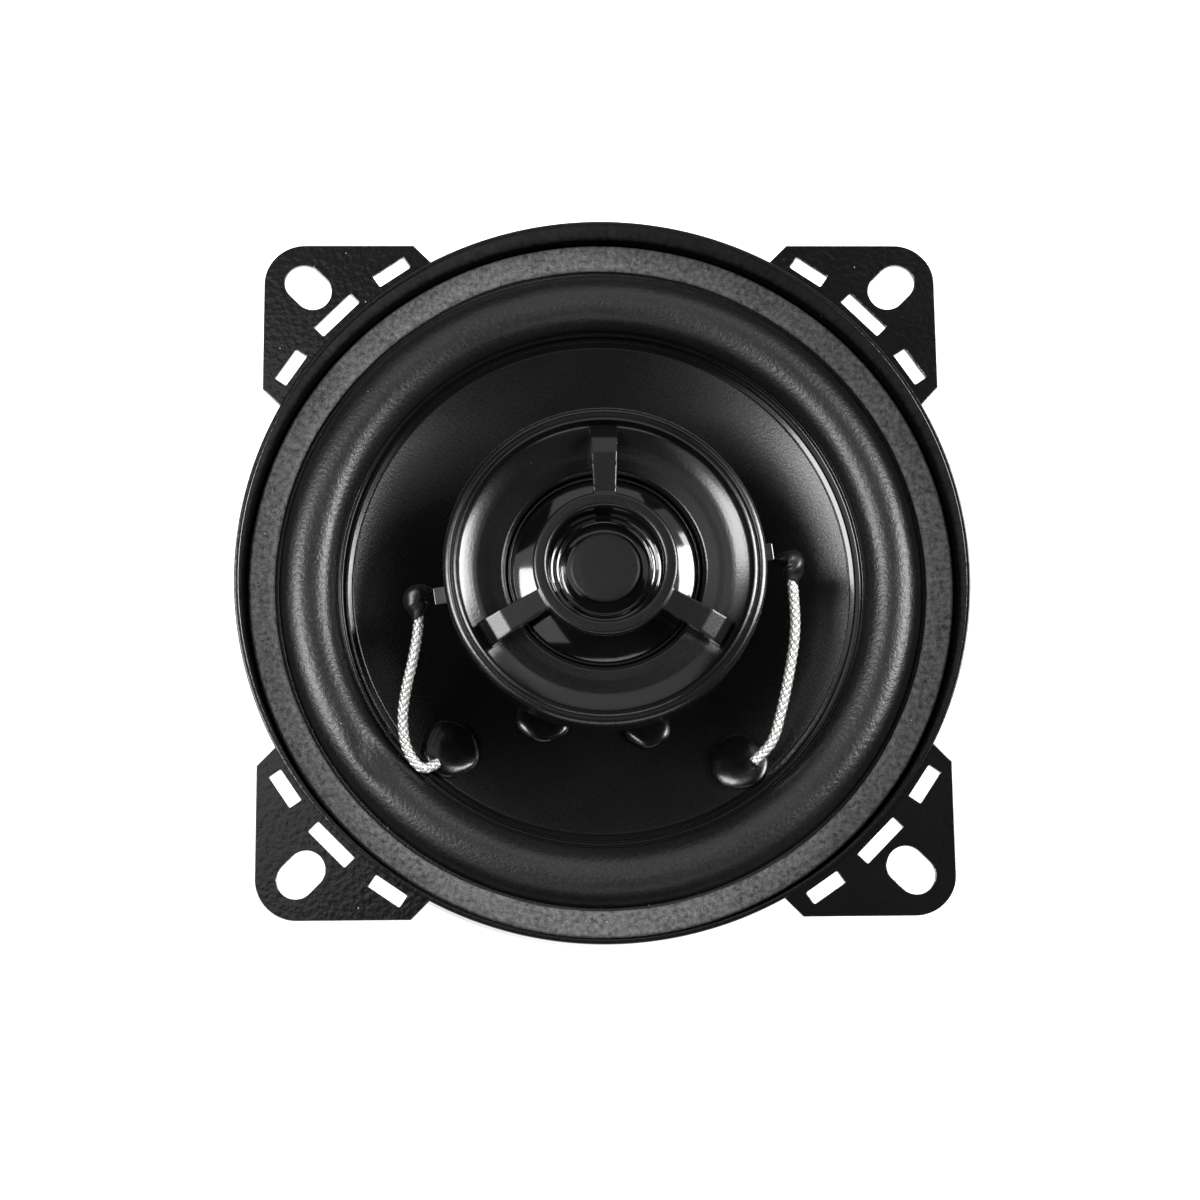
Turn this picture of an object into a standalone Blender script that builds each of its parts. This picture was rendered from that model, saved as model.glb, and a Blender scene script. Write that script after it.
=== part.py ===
"""Four inch coaxial car speaker, built piece by piece.

All lengths below are millimetres and are turned into metres by MM where a mesh is made.
The axis of the speaker is +Z, toward the listener. The rear face of the yoke is at z = 0.
"""

import math

import bmesh
import bpy
import numpy as np
from mathutils import Matrix

MM = 0.001
GAP = 0.3

# Driving dimensions of the frame
RIM_R = 50.8
LIP_Z = 45.0
SHEET = 0.7
RIM_TURNS = 48
BODY_TURNS = 36
SMALL_TURNS = 24
PIN_TURNS = 12
TAB_HALF = 47.3
TAB_CORNER_R = 5.7
TAB_EDGE_END = 26.4
TAB_TOP_Z = 44.65
TAB_THICK = 0.9
SLOT_CENTRE_R = 58.2
SLOT_LENGTH = 7.1
SLOT_WIDTH = 5.2
WINDOW_R = 52.5
WINDOW_DEPTH = 1.9
LANDING_Z = 35.6
SHELF_Z = 23.8
FLOOR_Z = 20.1

# Magnet system
YOKE_THICK = 4.5
YOKE_R = 31.5
POLE_R = 12.2
POLE_TOP_Z = 19.6
MAGNET_R = 35.0
MAGNET_BORE_R = 17.5
MAGNET_THICK = 10.0
PLATE_R = 32.0
PLATE_BORE_R = 14.1
PLATE_THICK = 4.0

# Moving parts
FORMER_R = 12.6
FORMER_WALL = 0.25
CONE_NECK_R = 13.2
CONE_NECK_Z = 26.9
CONE_EDGE_R = 35.4
CONE_EDGE_Z = 35.2
CONE_WALL = 0.45
CONE_CURVE = 1.2
PAD_R = 31.6
PAD_LEFT_DEG = -132.4
PAD_RIGHT_DEG = -52.6

# Tweeter
HOUSING_R = 22.0
HOUSING_TOP_Z = 50.9
OPENING_R = 13.5
TAB_LEFT_DEG = 188.0
TAB_RIGHT_DEG = 7.0
GUARD_SPOKES = 3

MAGNET_Z = YOKE_THICK + GAP
PLATE_Z = MAGNET_Z + MAGNET_THICK + GAP
PLATE_TOP_Z = PLATE_Z + PLATE_THICK

for old in list(bpy.data.objects):
    bpy.data.objects.remove(old, do_unlink=True)


# Shared modelling helpers

def material(name, colour, roughness, metallic=0.0):
    """A Principled material with one base colour."""
    made = bpy.data.materials.new(name)
    made.use_nodes = True
    shader = made.node_tree.nodes["Principled BSDF"]
    shader.inputs["Base Color"].default_value = (*colour, 1.0)
    shader.inputs["Roughness"].default_value = roughness
    shader.inputs["Metallic"].default_value = metallic
    return made


def add_object(name, bm, finish, smooth_deg=35.0):
    """Turns a bmesh in millimetres into an object in metres."""
    bmesh.ops.recalc_face_normals(bm, faces=bm.faces)
    bmesh.ops.scale(bm, vec=(MM, MM, MM), verts=bm.verts)
    mesh = bpy.data.meshes.new(name)
    bm.to_mesh(mesh)
    bm.free()
    mesh.shade_smooth()
    mesh.set_sharp_from_angle(angle=math.radians(smooth_deg))
    made = bpy.data.objects.new(name, mesh)
    bpy.context.scene.collection.objects.link(made)
    if finish is not None:
        mesh.materials.append(finish)
    return made


def spin_outline(bm, outline, turns=BODY_TURNS, matrix=None):
    """Adds the closed outline of (radius, height) points, turned once around Z."""
    verts = [bm.verts.new((r, 0.0, z)) for r, z in outline]
    edges = [bm.edges.new((verts[i - 1], verts[i])) for i in range(len(verts))]
    before = set(bm.verts) - set(verts)
    bmesh.ops.spin(
        bm,
        geom=verts + edges,
        axis=(0.0, 0.0, 1.0),
        cent=(0.0, 0.0, 0.0),
        angle=math.tau,
        steps=turns,
        use_merge=True,
    )
    fresh = [v for v in bm.verts if v not in before]
    bmesh.ops.remove_doubles(bm, verts=fresh, dist=1e-4)
    fresh = [v for v in bm.verts if v not in before]
    if matrix is not None:
        bmesh.ops.transform(bm, matrix=matrix, verts=fresh)


def turned(name, outline, finish, turns=BODY_TURNS, matrix=None):
    """A turned piece from its closed outline of (radius, height) points."""
    bm = bmesh.new()
    spin_outline(bm, outline, turns, matrix)
    return add_object(name, bm, finish)


def ring_outline(inner, outer, bottom, top, chamfer=0.0):
    """Outline of a flat ring with chamfered outer edges."""
    if chamfer == 0.0:
        return [(inner, bottom), (outer, bottom), (outer, top), (inner, top)]
    return [
        (inner, bottom),
        (outer - chamfer, bottom),
        (outer, bottom + chamfer),
        (outer, top - chamfer),
        (outer - chamfer, top),
        (inner, top),
    ]


def disc_outline(radius, bottom, top, chamfer):
    """Outline of a solid disc, closed on the axis, with chamfered edges."""
    return ring_outline(0.0, radius, bottom, top, chamfer)


def add_prism(bm, outline, bottom, top, matrix=None):
    """Adds an upright prism over a plan outline of (x, y) points."""
    face = bm.faces.new([bm.verts.new((x, y, bottom)) for x, y in outline])
    made = bmesh.ops.extrude_face_region(bm, geom=[face])["geom"]
    lifted = [v for v in made if isinstance(v, bmesh.types.BMVert)]
    bmesh.ops.translate(bm, vec=(0.0, 0.0, top - bottom), verts=lifted)
    if matrix is not None:
        bmesh.ops.transform(bm, matrix=matrix, verts=list(face.verts) + lifted)


def arc(centre, radius, start_deg, end_deg, steps):
    """Points of an arc in the plan, both ends included."""
    angles = np.radians(np.linspace(start_deg, end_deg, steps + 1))
    return [(centre[0] + radius * math.cos(a), centre[1] + radius * math.sin(a)) for a in angles]


def rectangle(x0, x1, y0, y1):
    return [(x0, y0), (x1, y0), (x1, y1), (x0, y1)]


def turn_about_z(degrees):
    return Matrix.Rotation(math.radians(degrees), 4, "Z")


def boolean(target, tool, operation):
    """Cuts or joins one object with another that stays out of the model."""
    tool.hide_render = True
    tool.display_type = "WIRE"
    step = target.modifiers.new(tool.name, "BOOLEAN")
    step.operation = operation
    step.solver = "EXACT"
    step.object = tool


def smooth_route(points, count):
    """Evenly many points of the Catmull-Rom curve through the route's points."""
    route = np.array(points, dtype=float)
    padded = np.vstack([2 * route[0] - route[1], route, 2 * route[-1] - route[-2]])
    places = []
    for s in np.linspace(0.0, len(route) - 1.0, count):
        i = min(int(s), len(route) - 2)
        t = s - i
        a, b, c, d = padded[i : i + 4]
        bend = (2 * a - 5 * b + 4 * c - d) * t * t + (3 * b - a - 3 * c + d) * t**3
        places.append(0.5 * (2 * b + (c - a) * t + bend))
    return places


def tube(name, route, diameter, finish, count, resolution=2):
    """A round lead along a smooth route, with closed ends."""
    curve = bpy.data.curves.new(name, "CURVE")
    curve.dimensions = "3D"
    curve.bevel_depth = diameter / 2 * MM
    curve.bevel_resolution = resolution
    curve.use_fill_caps = True
    points = smooth_route(route, count)
    spline = curve.splines.new("POLY")
    spline.points.add(len(points) - 1)
    for knot, place in zip(spline.points, points):
        knot.co = (*(place * MM), 1.0)
    made = bpy.data.objects.new(name, curve)
    curve.materials.append(finish)
    bpy.context.scene.collection.objects.link(made)
    return made


def cone_front_z(r):
    """Height of the cone's front face at a radius."""
    share = (r - CONE_NECK_R) / (CONE_EDGE_R - CONE_NECK_R)
    return CONE_NECK_Z + (CONE_EDGE_Z - CONE_NECK_Z) * max(share, 0.0) ** CONE_CURVE


def on_cone(r, degrees):
    """Frame on the cone's front face: Z along the face's normal."""
    step = 0.5
    slope = math.atan2(cone_front_z(r + step) - cone_front_z(r - step), 2 * step)
    lift = Matrix.Translation((r, 0.0, cone_front_z(r)))
    return turn_about_z(degrees) @ lift @ Matrix.Rotation(-slope, 4, "Y")


# Materials

BLACK_PAINT = material("black_paint", (0.012, 0.012, 0.013), 0.35)
STEEL = material("zinc_steel", (0.55, 0.55, 0.56), 0.35, 1.0)
BRASS = material("brass", (0.72, 0.54, 0.26), 0.3, 1.0)
COPPER = material("copper_wire", (0.62, 0.3, 0.16), 0.35, 1.0)
FERRITE = material("ferrite", (0.03, 0.03, 0.032), 0.6)
FIBRE = material("grey_fibre", (0.07, 0.07, 0.072), 0.9)
RUBBER = material("black_rubber", (0.018, 0.018, 0.018), 0.55)
CLOTH = material("spider_cloth", (0.75, 0.62, 0.3), 0.9)
POLY = material("black_polypropylene", (0.015, 0.015, 0.016), 0.4)
KAPTON = material("former_film", (0.45, 0.2, 0.05), 0.3)
BRAID = material("tinned_braid", (0.8, 0.8, 0.78), 0.35, 1.0)
GLUE = material("black_glue", (0.01, 0.01, 0.01), 0.12)
PLASTIC = material("black_plastic", (0.018, 0.018, 0.018), 0.4)
GUARD_PLASTIC = material("guard_plastic", (0.035, 0.035, 0.037), 0.5)
FILM = material("tweeter_film", (0.01, 0.01, 0.01), 0.08)
FELT = material("dark_felt", (0.03, 0.03, 0.03), 0.85)
PHENOLIC = material("phenolic_board", (0.3, 0.14, 0.06), 0.55)
SLEEVE = material("capacitor_sleeve", (0.05, 0.08, 0.2), 0.35)


# Magnet system

def make_yoke():
    """Back plate and pole in one forging, with a screw hole through the pole."""
    head_r = 4.7
    head_deep = 3.4
    shank_r = 2.3
    outline = [
        (head_r, 0.0),
        (YOKE_R - 0.6, 0.0),
        (YOKE_R, 0.6),
        (YOKE_R, YOKE_THICK - 0.6),
        (YOKE_R - 0.6, YOKE_THICK),
        (POLE_R + 1.0, YOKE_THICK),
        (POLE_R, YOKE_THICK + 1.0),
        (POLE_R, POLE_TOP_Z - 0.5),
        (POLE_R - 0.5, POLE_TOP_Z),
        (shank_r, POLE_TOP_Z),
        (shank_r, head_deep),
        (head_r, head_deep),
    ]
    turned("t_yoke", outline, STEEL)


def make_magnet():
    outline = ring_outline(MAGNET_BORE_R, MAGNET_R, MAGNET_Z, MAGNET_Z + MAGNET_THICK, 0.8)
    turned("magnet", outline, FERRITE)


RIVET_R = 21.5
RIVET_SHANK_R = 1.0
RIVET_HOLE_R = RIVET_SHANK_R + 0.35
RIVET_DEEP = 1.6


def rivet_places():
    return [45.0 + 90.0 * k for k in range(4)]


def make_top_plate():
    plate = turned("top_plate", ring_outline(PLATE_BORE_R, PLATE_R, PLATE_Z, PLATE_TOP_Z, 0.5), STEEL)
    bm = bmesh.new()
    for degrees in rivet_places():
        place = turn_about_z(degrees) @ Matrix.Translation((RIVET_R, 0.0, 0.0))
        outline = disc_outline(RIVET_HOLE_R, PLATE_TOP_Z - RIVET_DEEP - GAP, PLATE_TOP_Z + 1.0, 0.1)
        spin_outline(bm, outline, PIN_TURNS, place)
    boolean(plate, add_object("plate_holes", bm, None), "DIFFERENCE")


# Basket

def tab_outline():
    """Plan of the corner tab in the +X +Y corner, from rim to rim."""
    reach = TAB_HALF - TAB_CORNER_R
    chamfer = 2.6
    inner = arc((0.0, 0.0), RIM_R - SHEET / 2, 62.0, 28.0, 5)
    outer = [(TAB_HALF - chamfer, TAB_EDGE_END - chamfer), (TAB_HALF, TAB_EDGE_END)]
    outer += arc((reach, reach), TAB_CORNER_R, 0.0, 90.0, 7)
    outer += [(TAB_EDGE_END, TAB_HALF), (TAB_EDGE_END - chamfer, TAB_HALF - chamfer)]
    return inner + outer


def slot_outline():
    """Screw slot along +X, with round ends."""
    half = (SLOT_LENGTH - SLOT_WIDTH) / 2
    right = arc((SLOT_CENTRE_R + half, 0.0), SLOT_WIDTH / 2, -90.0, 90.0, 6)
    left = arc((SLOT_CENTRE_R - half, 0.0), SLOT_WIDTH / 2, 90.0, 270.0, 6)
    return right + left


def leg_window_outline(half_deg):
    """Plan of one window between two legs, centred on +X."""
    inner = arc((0.0, 0.0), 33.9, -half_deg, half_deg, 5)
    outer = arc((0.0, 0.0), 43.3, half_deg, -half_deg, 5)
    return inner + outer


TONGUE_HALF = 8.5
TONGUE_END_Y = -41.0
BOARD_RIVET_X = 5.3
BOARD_RIVET_Y = -38.3
BOARD_RIVET_R = 1.1
BOARD_HOLE_R = BOARD_RIVET_R + 0.35


def make_basket():
    """Pressed frame: floor, spider shelf, sloping legs, landing, deep rim and four tabs."""
    rim_in = RIM_R - SHEET
    outline = [
        (14.6, FLOOR_Z - SHEET),
        (26.4, FLOOR_Z - SHEET),
        (28.2, SHELF_Z - SHEET),
        (32.2, SHELF_Z - SHEET),
        (33.2, 23.6),
        (44.0, 34.1),
        (45.4, LANDING_Z - SHEET),
        (49.9, LANDING_Z - SHEET),
        (RIM_R, LANDING_Z + 0.3),
        (RIM_R, LIP_Z - 0.2),
        (RIM_R - 0.2, LIP_Z),
        (rim_in + 0.2, LIP_Z),
        (rim_in, LIP_Z - 0.2),
        (rim_in, LANDING_Z + 0.3),
        (rim_in - 0.5, LANDING_Z),
        (45.2, LANDING_Z),
        (43.5, 34.6),
        (32.8, 24.1),
        (32.0, SHELF_Z),
        (27.7, SHELF_Z),
        (25.9, FLOOR_Z),
        (14.6, FLOOR_Z),
    ]
    basket = turned("basket", outline, BLACK_PAINT, RIM_TURNS)

    added = bmesh.new()
    for k in range(4):
        add_prism(added, tab_outline(), TAB_TOP_Z - TAB_THICK, TAB_TOP_Z, turn_about_z(90.0 * k))
    tongue = rectangle(-TONGUE_HALF, TONGUE_HALF, TONGUE_END_Y, -31.0)
    add_prism(added, tongue, SHELF_Z - SHEET + 0.05, SHELF_Z - 0.05)
    boolean(basket, add_object("tab_blanks", added, None), "UNION")

    cuts = bmesh.new()
    for k in range(4):
        corner = turn_about_z(45.0 + 90.0 * k)
        add_prism(cuts, slot_outline(), 40.0, 48.0, corner)
        for degrees, half_width in ((-10.8, 2.55), (0.0, 3.5), (10.8, 2.55)):
            near = WINDOW_R - WINDOW_DEPTH / 2
            window = rectangle(near, near + WINDOW_DEPTH, -half_width, half_width)
            add_prism(cuts, window, 40.0, 48.0, corner @ turn_about_z(degrees))
        add_prism(cuts, leg_window_outline(29.0), SHELF_Z + 0.1, 34.85, turn_about_z(90.0 * k))
    for degrees in rivet_places():
        place = turn_about_z(degrees) @ Matrix.Translation((RIVET_R, 0.0, 0.0))
        spin_outline(cuts, disc_outline(RIVET_HOLE_R, 18.0, 22.0, 0.1), PIN_TURNS, place)
    for side in (-1.0, 1.0):
        place = Matrix.Translation((side * BOARD_RIVET_X, BOARD_RIVET_Y, 0.0))
        spin_outline(cuts, disc_outline(BOARD_HOLE_R, 22.0, 25.0, 0.1), PIN_TURNS, place)
    boolean(basket, add_object("basket_cuts", cuts, None), "DIFFERENCE")


def make_basket_rivets():
    """Four rivets through the basket's floor into the top plate."""
    head_z = FLOOR_Z + GAP
    outline = [
        (0.0, PLATE_TOP_Z - RIVET_DEEP),
        (RIVET_SHANK_R, PLATE_TOP_Z - RIVET_DEEP),
        (RIVET_SHANK_R, head_z),
        (2.0, head_z),
        (1.9, head_z + 0.5),
        (1.2, head_z + 0.9),
        (0.0, head_z + 1.0),
    ]
    for number, degrees in enumerate(rivet_places(), start=1):
        place = turn_about_z(degrees) @ Matrix.Translation((RIVET_R, 0.0, 0.0))
        turned(f"basket_rivet_{number}", outline, STEEL, PIN_TURNS, place)


# Terminals

BOARD_Z = SHELF_Z + GAP
BOARD_THICK = 1.5
BLADE_Z = BOARD_Z + BOARD_THICK + GAP
BLADE_THICK = 0.8


def rivet_cutter(name, x, bottom, top):
    bm = bmesh.new()
    place = Matrix.Translation((x, BOARD_RIVET_Y, 0.0))
    spin_outline(bm, disc_outline(BOARD_HOLE_R, bottom, top, 0.1), PIN_TURNS, place)
    return add_object(name, bm, None)


def make_terminals():
    """Insulating board on the basket's tongue, with a wide and a narrow blade."""
    bm = bmesh.new()
    add_prism(bm, rectangle(-9.0, 9.0, -41.6, -34.3), BOARD_Z, BOARD_Z + BOARD_THICK)
    board = add_object("terminal_board", bm, PHENOLIC)
    blades = (("positive", "left", -1.0, 2.4), ("negative", "right", 1.0, 1.5))
    for pole, hand, side, half_width in blades:
        x = side * BOARD_RIVET_X
        boolean(board, rivet_cutter(f"board_hole_{hand}", x, 23.0, 27.0), "DIFFERENCE")
        shape = bmesh.new()
        near = -35.3
        plan = [
            (x - 2.4, -41.0),
            (x - half_width, -42.0),
            (x - half_width, -48.4),
            (x - half_width + 0.8, -49.2),
            (x + half_width - 0.8, -49.2),
            (x + half_width, -48.4),
            (x + half_width, -42.0),
            (x + 2.4, -41.0),
            (x + 2.4, near),
            (x - 2.4, near),
        ]
        add_prism(shape, plan, BLADE_Z, BLADE_Z + BLADE_THICK)
        blade = add_object(f"terminal_{pole}", shape, STEEL)
        boolean(blade, rivet_cutter(f"blade_hole_{hand}", x, 25.0, 28.0), "DIFFERENCE")
        low = SHELF_Z - SHEET - GAP
        high = BLADE_Z + BLADE_THICK + GAP
        outline = [
            (0.0, low - 0.7),
            (1.8, low - 0.5),
            (1.8, low),
            (BOARD_RIVET_R, low),
            (BOARD_RIVET_R, high),
            (1.8, high),
            (1.8, high + 0.5),
            (0.0, high + 0.7),
        ]
        place = Matrix.Translation((x, BOARD_RIVET_Y, 0.0))
        turned(f"board_rivet_{hand}", outline, BRASS, PIN_TURNS, place)


# Cone, surround, spider and voice coil

def make_gasket():
    outline = [
        (45.9, 36.8),
        (49.6, 36.8),
        (49.6, 37.7),
        (49.3, 38.0),
        (46.4, 37.8),
        (45.9, 37.4),
    ]
    turned("gasket", outline, FIBRE, SMALL_TURNS)


def roll_points(inner, outer, base, height, steps):
    """Half roll from its outer foot to its inner foot, as (radius, height) points."""
    middle = (inner + outer) / 2
    half = (outer - inner) / 2
    angles = np.linspace(0.0, math.pi, steps + 1)
    return [(middle + half * math.cos(a), base + height * math.sin(a)) for a in angles]


def make_surround():
    """Rubber half roll with a flat outer flange and a narrow lip on the cone's edge."""
    wall = 0.5
    low = LANDING_Z + GAP
    outer = 49.75
    under = roll_points(37.7, 44.9, low, 3.2, 6)
    over = roll_points(37.7 - wall, 44.9 + wall, low + wall, 3.3, 6)
    outline = [(outer, low)] + under + [(35.9, low), (35.9, low + wall)]
    outline += over[::-1] + [(outer, low + wall)]
    turned("surround", outline, RUBBER, SMALL_TURNS)


def make_cone():
    """Thin cone with a slight flare, a flat edge under the surround and two lead holes."""
    radii = np.linspace(CONE_NECK_R, CONE_EDGE_R, 5)
    front = [(r, cone_front_z(r)) for r in radii] + [(37.1, CONE_EDGE_Z + 0.3)]
    back = [(r + 0.1, z - CONE_WALL) for r, z in front]
    back[0] = (CONE_NECK_R, CONE_NECK_Z - CONE_WALL)
    cone = turned("cone", front + back[::-1], POLY, SMALL_TURNS)
    bm = bmesh.new()
    for degrees in (PAD_LEFT_DEG, PAD_RIGHT_DEG):
        spin_outline(bm, disc_outline(EYELET_R + GAP, -2.0, 2.0, 0.1), PIN_TURNS, on_cone(PAD_R, degrees))
    boolean(cone, add_object("lead_holes", bm, None), "DIFFERENCE")


EYELET_R = 0.8


def make_cone_fittings():
    """On each side an eyelet through the cone, a glue pad over it and a drop over the coil wire."""
    eyelet = [
        (0.0, -CONE_WALL - 0.9),
        (1.5, -CONE_WALL - 0.9),
        (1.6, -CONE_WALL - 0.35),
        (EYELET_R, -CONE_WALL - 0.35),
        (EYELET_R, 0.1),
        (0.0, 0.1),
    ]
    pad = [(0.0, GAP), (3.9, GAP), (4.0, 0.55), (3.5, 0.95), (2.3, 1.25), (0.0, 1.35)]
    sides = (
        ("left", PAD_LEFT_DEG, -115.5, 19.8, 4.2),
        ("right", PAD_RIGHT_DEG, -71.5, 20.6, 3.4),
    )
    for hand, pad_deg, drop_deg, drop_r, size in sides:
        turned(f"cone_eyelet_{hand}", eyelet, BRASS, PIN_TURNS, on_cone(PAD_R, pad_deg))
        turned(f"lead_pad_{hand}", pad, GLUE, 16, on_cone(PAD_R, pad_deg))
        drop = [(0.0, GAP), (size, GAP), (size, 0.5), (size * 0.8, 0.9), (size * 0.4, 1.15), (0.0, 1.2)]
        turned(f"coil_glue_{hand}", drop, GLUE, 16, on_cone(drop_r, drop_deg))


def make_voice_coil():
    """Former in the magnet gap, and the winding around it."""
    outer = FORMER_R + FORMER_WALL
    turned("voice_coil_former", ring_outline(FORMER_R, outer, 13.2, 27.6), KAPTON)
    turned("voice_coil", ring_outline(outer + GAP, 13.75, 12.9, 21.3), COPPER)


def make_spider():
    """Corrugated cloth disc from the former to the shelf."""
    outer = 31.8
    inner = CONE_NECK_R
    wall = 0.4
    waves = 2
    radii = np.linspace(14.4, 28.2, 3 * waves + 1)
    wave = [0.75 * math.sin(math.tau * waves * (r - radii[0]) / (radii[-1] - radii[0])) for r in radii]
    base = SHELF_Z + GAP
    under = [(inner, base)] + [(r, base + h) for r, h in zip(radii, wave)] + [(outer, base)]
    over = [(r, z + wall) for r, z in under]
    turned("spider", under + over[::-1], CLOTH, SMALL_TURNS)


# Tweeter support

def make_support():
    """Post on the pole, with a screw through yoke and post and a nut in the back cover."""
    post = [
        (2.1, POLE_TOP_Z + GAP),
        (7.4, POLE_TOP_Z + GAP),
        (7.4, 21.0),
        (4.4, 22.8),
        (4.4, 33.1),
        (2.1, 33.1),
    ]
    turned("tweeter_post", post, PLASTIC, 16)
    screw = [
        (0.0, 1.8),
        (1.3, 1.8),
        (1.5, 0.5),
        (3.4, 0.5),
        (3.9, 1.1),
        (3.9, 3.1),
        (1.75, 3.1),
        (1.75, 37.1),
        (1.35, 37.5),
        (0.0, 37.5),
    ]
    turned("post_screw", screw, STEEL, 16)
    turned("post_nut", ring_outline(2.4, 4.0, 34.8, 37.1), STEEL, 6)


def make_back_cover():
    outline = [
        (2.1, 33.4),
        (7.4, 33.4),
        (8.4, 33.9),
        (21.0, 42.4),
        (21.6, 43.2),
        (21.6, 44.0),
        (20.5, 44.0),
        (20.4, 43.4),
        (7.8, 34.8),
        (7.4, 34.5),
        (2.1, 34.5),
    ]
    turned("tweeter_back_cover", outline, PLASTIC, SMALL_TURNS)


# Tweeter housing and guard

def dish_z(r):
    """Height of the dish inside the housing's rim, straight from point to point."""
    places = ((13.8, 47.4), (15.6, 47.75), (18.6, 48.15), (19.7, 48.6), (20.1, 49.4))
    return float(np.interp(r, [p[0] for p in places], [p[1] for p in places]))


def make_housing():
    """Moulded ring: skirt, double bead, step, dish and the collar that holds the capsule."""
    top = HOUSING_TOP_Z
    dish = [(r, dish_z(r)) for r in (20.1, 19.7, 18.6, 15.6, 13.8)]
    outline = [
        (HOUSING_R, 44.3),
        (HOUSING_R, top - 0.5),
        (21.75, top),
        (21.4, top),
        (21.1, top - 0.35),
        (20.9, top - 0.15),
        (20.4, top - 0.15),
        (20.25, top - 0.6),
    ]
    outline += dish + [
        (OPENING_R, 47.1),
        (OPENING_R, 44.9),
        (14.6, 44.9),
        (14.6, 46.4),
        (18.8, 46.9),
        (20.4, 47.6),
        (20.8, 47.2),
        (20.8, 44.3),
    ]
    housing = turned("tweeter_housing", outline, PLASTIC, SMALL_TURNS)
    bm = bmesh.new()
    for degrees in (TAB_LEFT_DEG, TAB_RIGHT_DEG):
        add_prism(bm, rectangle(20.2, 22.6, -1.7, 1.7), 44.0, 45.5, turn_about_z(degrees))
    boolean(housing, add_object("tab_notches", bm, None), "DIFFERENCE")


def make_guard():
    """Ring over the dome, carried by tapered spokes that stand on the dish."""
    ring = [
        (7.9, 50.6),
        (8.1, 50.3),
        (9.7, 50.3),
        (9.9, 50.6),
        (9.9, 51.4),
        (9.6, 51.7),
        (8.2, 51.7),
        (7.9, 51.4),
    ]
    guard = turned("tweeter_guard", ring, GUARD_PLASTIC, SMALL_TURNS)
    spoke_in = 8.9
    foot_out = 18.9
    foot_in = 17.3
    side = [
        (spoke_in, 51.55),
        (15.6, 51.3),
        (17.8, 50.6),
        (foot_out, 49.6),
        (foot_out, dish_z(foot_out) + GAP),
        (foot_in, dish_z(foot_in) + GAP),
        (16.6, 49.7),
        (15.2, 50.1),
        (spoke_in, 50.4),
    ]
    bm = bmesh.new()
    for k in range(GUARD_SPOKES):
        profile = [bm.verts.new((r, 0.0, z)) for r, z in side]
        made = bmesh.ops.extrude_face_region(bm, geom=[bm.faces.new(profile)])["geom"]
        far = [v for v in made if isinstance(v, bmesh.types.BMVert)]
        for verts, sign in ((profile, -1.0), (far, 1.0)):
            for v in verts:
                v.co.y = sign * (1.5 + 0.4 * (v.co.x - spoke_in) / (foot_out - spoke_in))
        bmesh.ops.transform(bm, matrix=turn_about_z(90.0 + 120.0 * k), verts=profile + far)
    boolean(guard, add_object("guard_spokes", bm, None), "UNION")


def make_tweeter_tabs():
    """Solder tab through each side of the housing, and the drop of glue on its end."""
    for hand, degrees, drop_deg in (("left", TAB_LEFT_DEG, 187.0), ("right", TAB_RIGHT_DEG, 3.2)):
        bm = bmesh.new()
        side = [
            (18.6, 45.1),
            (18.6, 44.6),
            (23.7, 44.6),
            (23.7, 43.4),
            (24.2, 43.4),
            (24.2, 45.1),
        ]
        profile = [bm.verts.new((r, -1.2, z)) for r, z in side]
        made = bmesh.ops.extrude_face_region(bm, geom=[bm.faces.new(profile)])["geom"]
        far = [v for v in made if isinstance(v, bmesh.types.BMVert)]
        bmesh.ops.translate(bm, vec=(0.0, 2.4, 0.0), verts=far)
        bmesh.ops.transform(bm, matrix=turn_about_z(degrees), verts=profile + far)
        add_object(f"tweeter_tab_{hand}", bm, STEEL)
        drop = bmesh.new()
        bmesh.ops.create_uvsphere(drop, u_segments=10, v_segments=6, radius=1.45)
        place = turn_about_z(drop_deg) @ Matrix.Translation((26.0, 0.0, 44.7))
        bmesh.ops.transform(drop, matrix=place, verts=drop.verts)
        add_object(f"tab_glue_{hand}", drop, GLUE)


# Tweeter capsule

def make_capsule():
    """Cup motor with its magnet and pole cap, in a plastic carrier."""
    cup = [(0.0, 37.9), (9.6, 37.9), (9.6, 44.1), (7.4, 44.1), (7.4, 39.7), (0.0, 39.7)]
    turned("tweeter_cup", cup, STEEL, SMALL_TURNS)
    turned("tweeter_magnet", [(0.0, 40.0), (5.2, 40.0), (5.2, 42.0), (0.0, 42.0)], STEEL, SMALL_TURNS)
    turned("tweeter_pole_cap", [(0.0, 42.3), (5.8, 42.3), (5.8, 43.9), (0.0, 43.9)], STEEL, SMALL_TURNS)
    carrier = [
        (9.9, 40.9),
        (12.4, 40.9),
        (13.2, 41.9),
        (13.2, 44.6),
        (12.9, 45.0),
        (12.9, 45.4),
        (11.6, 45.4),
        (9.9, 44.4),
    ]
    turned("tweeter_carrier", carrier, PLASTIC, SMALL_TURNS)
    turned("tweeter_retaining_ring", ring_outline(12.9, 13.25, 45.7, 46.4), PLASTIC)


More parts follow.
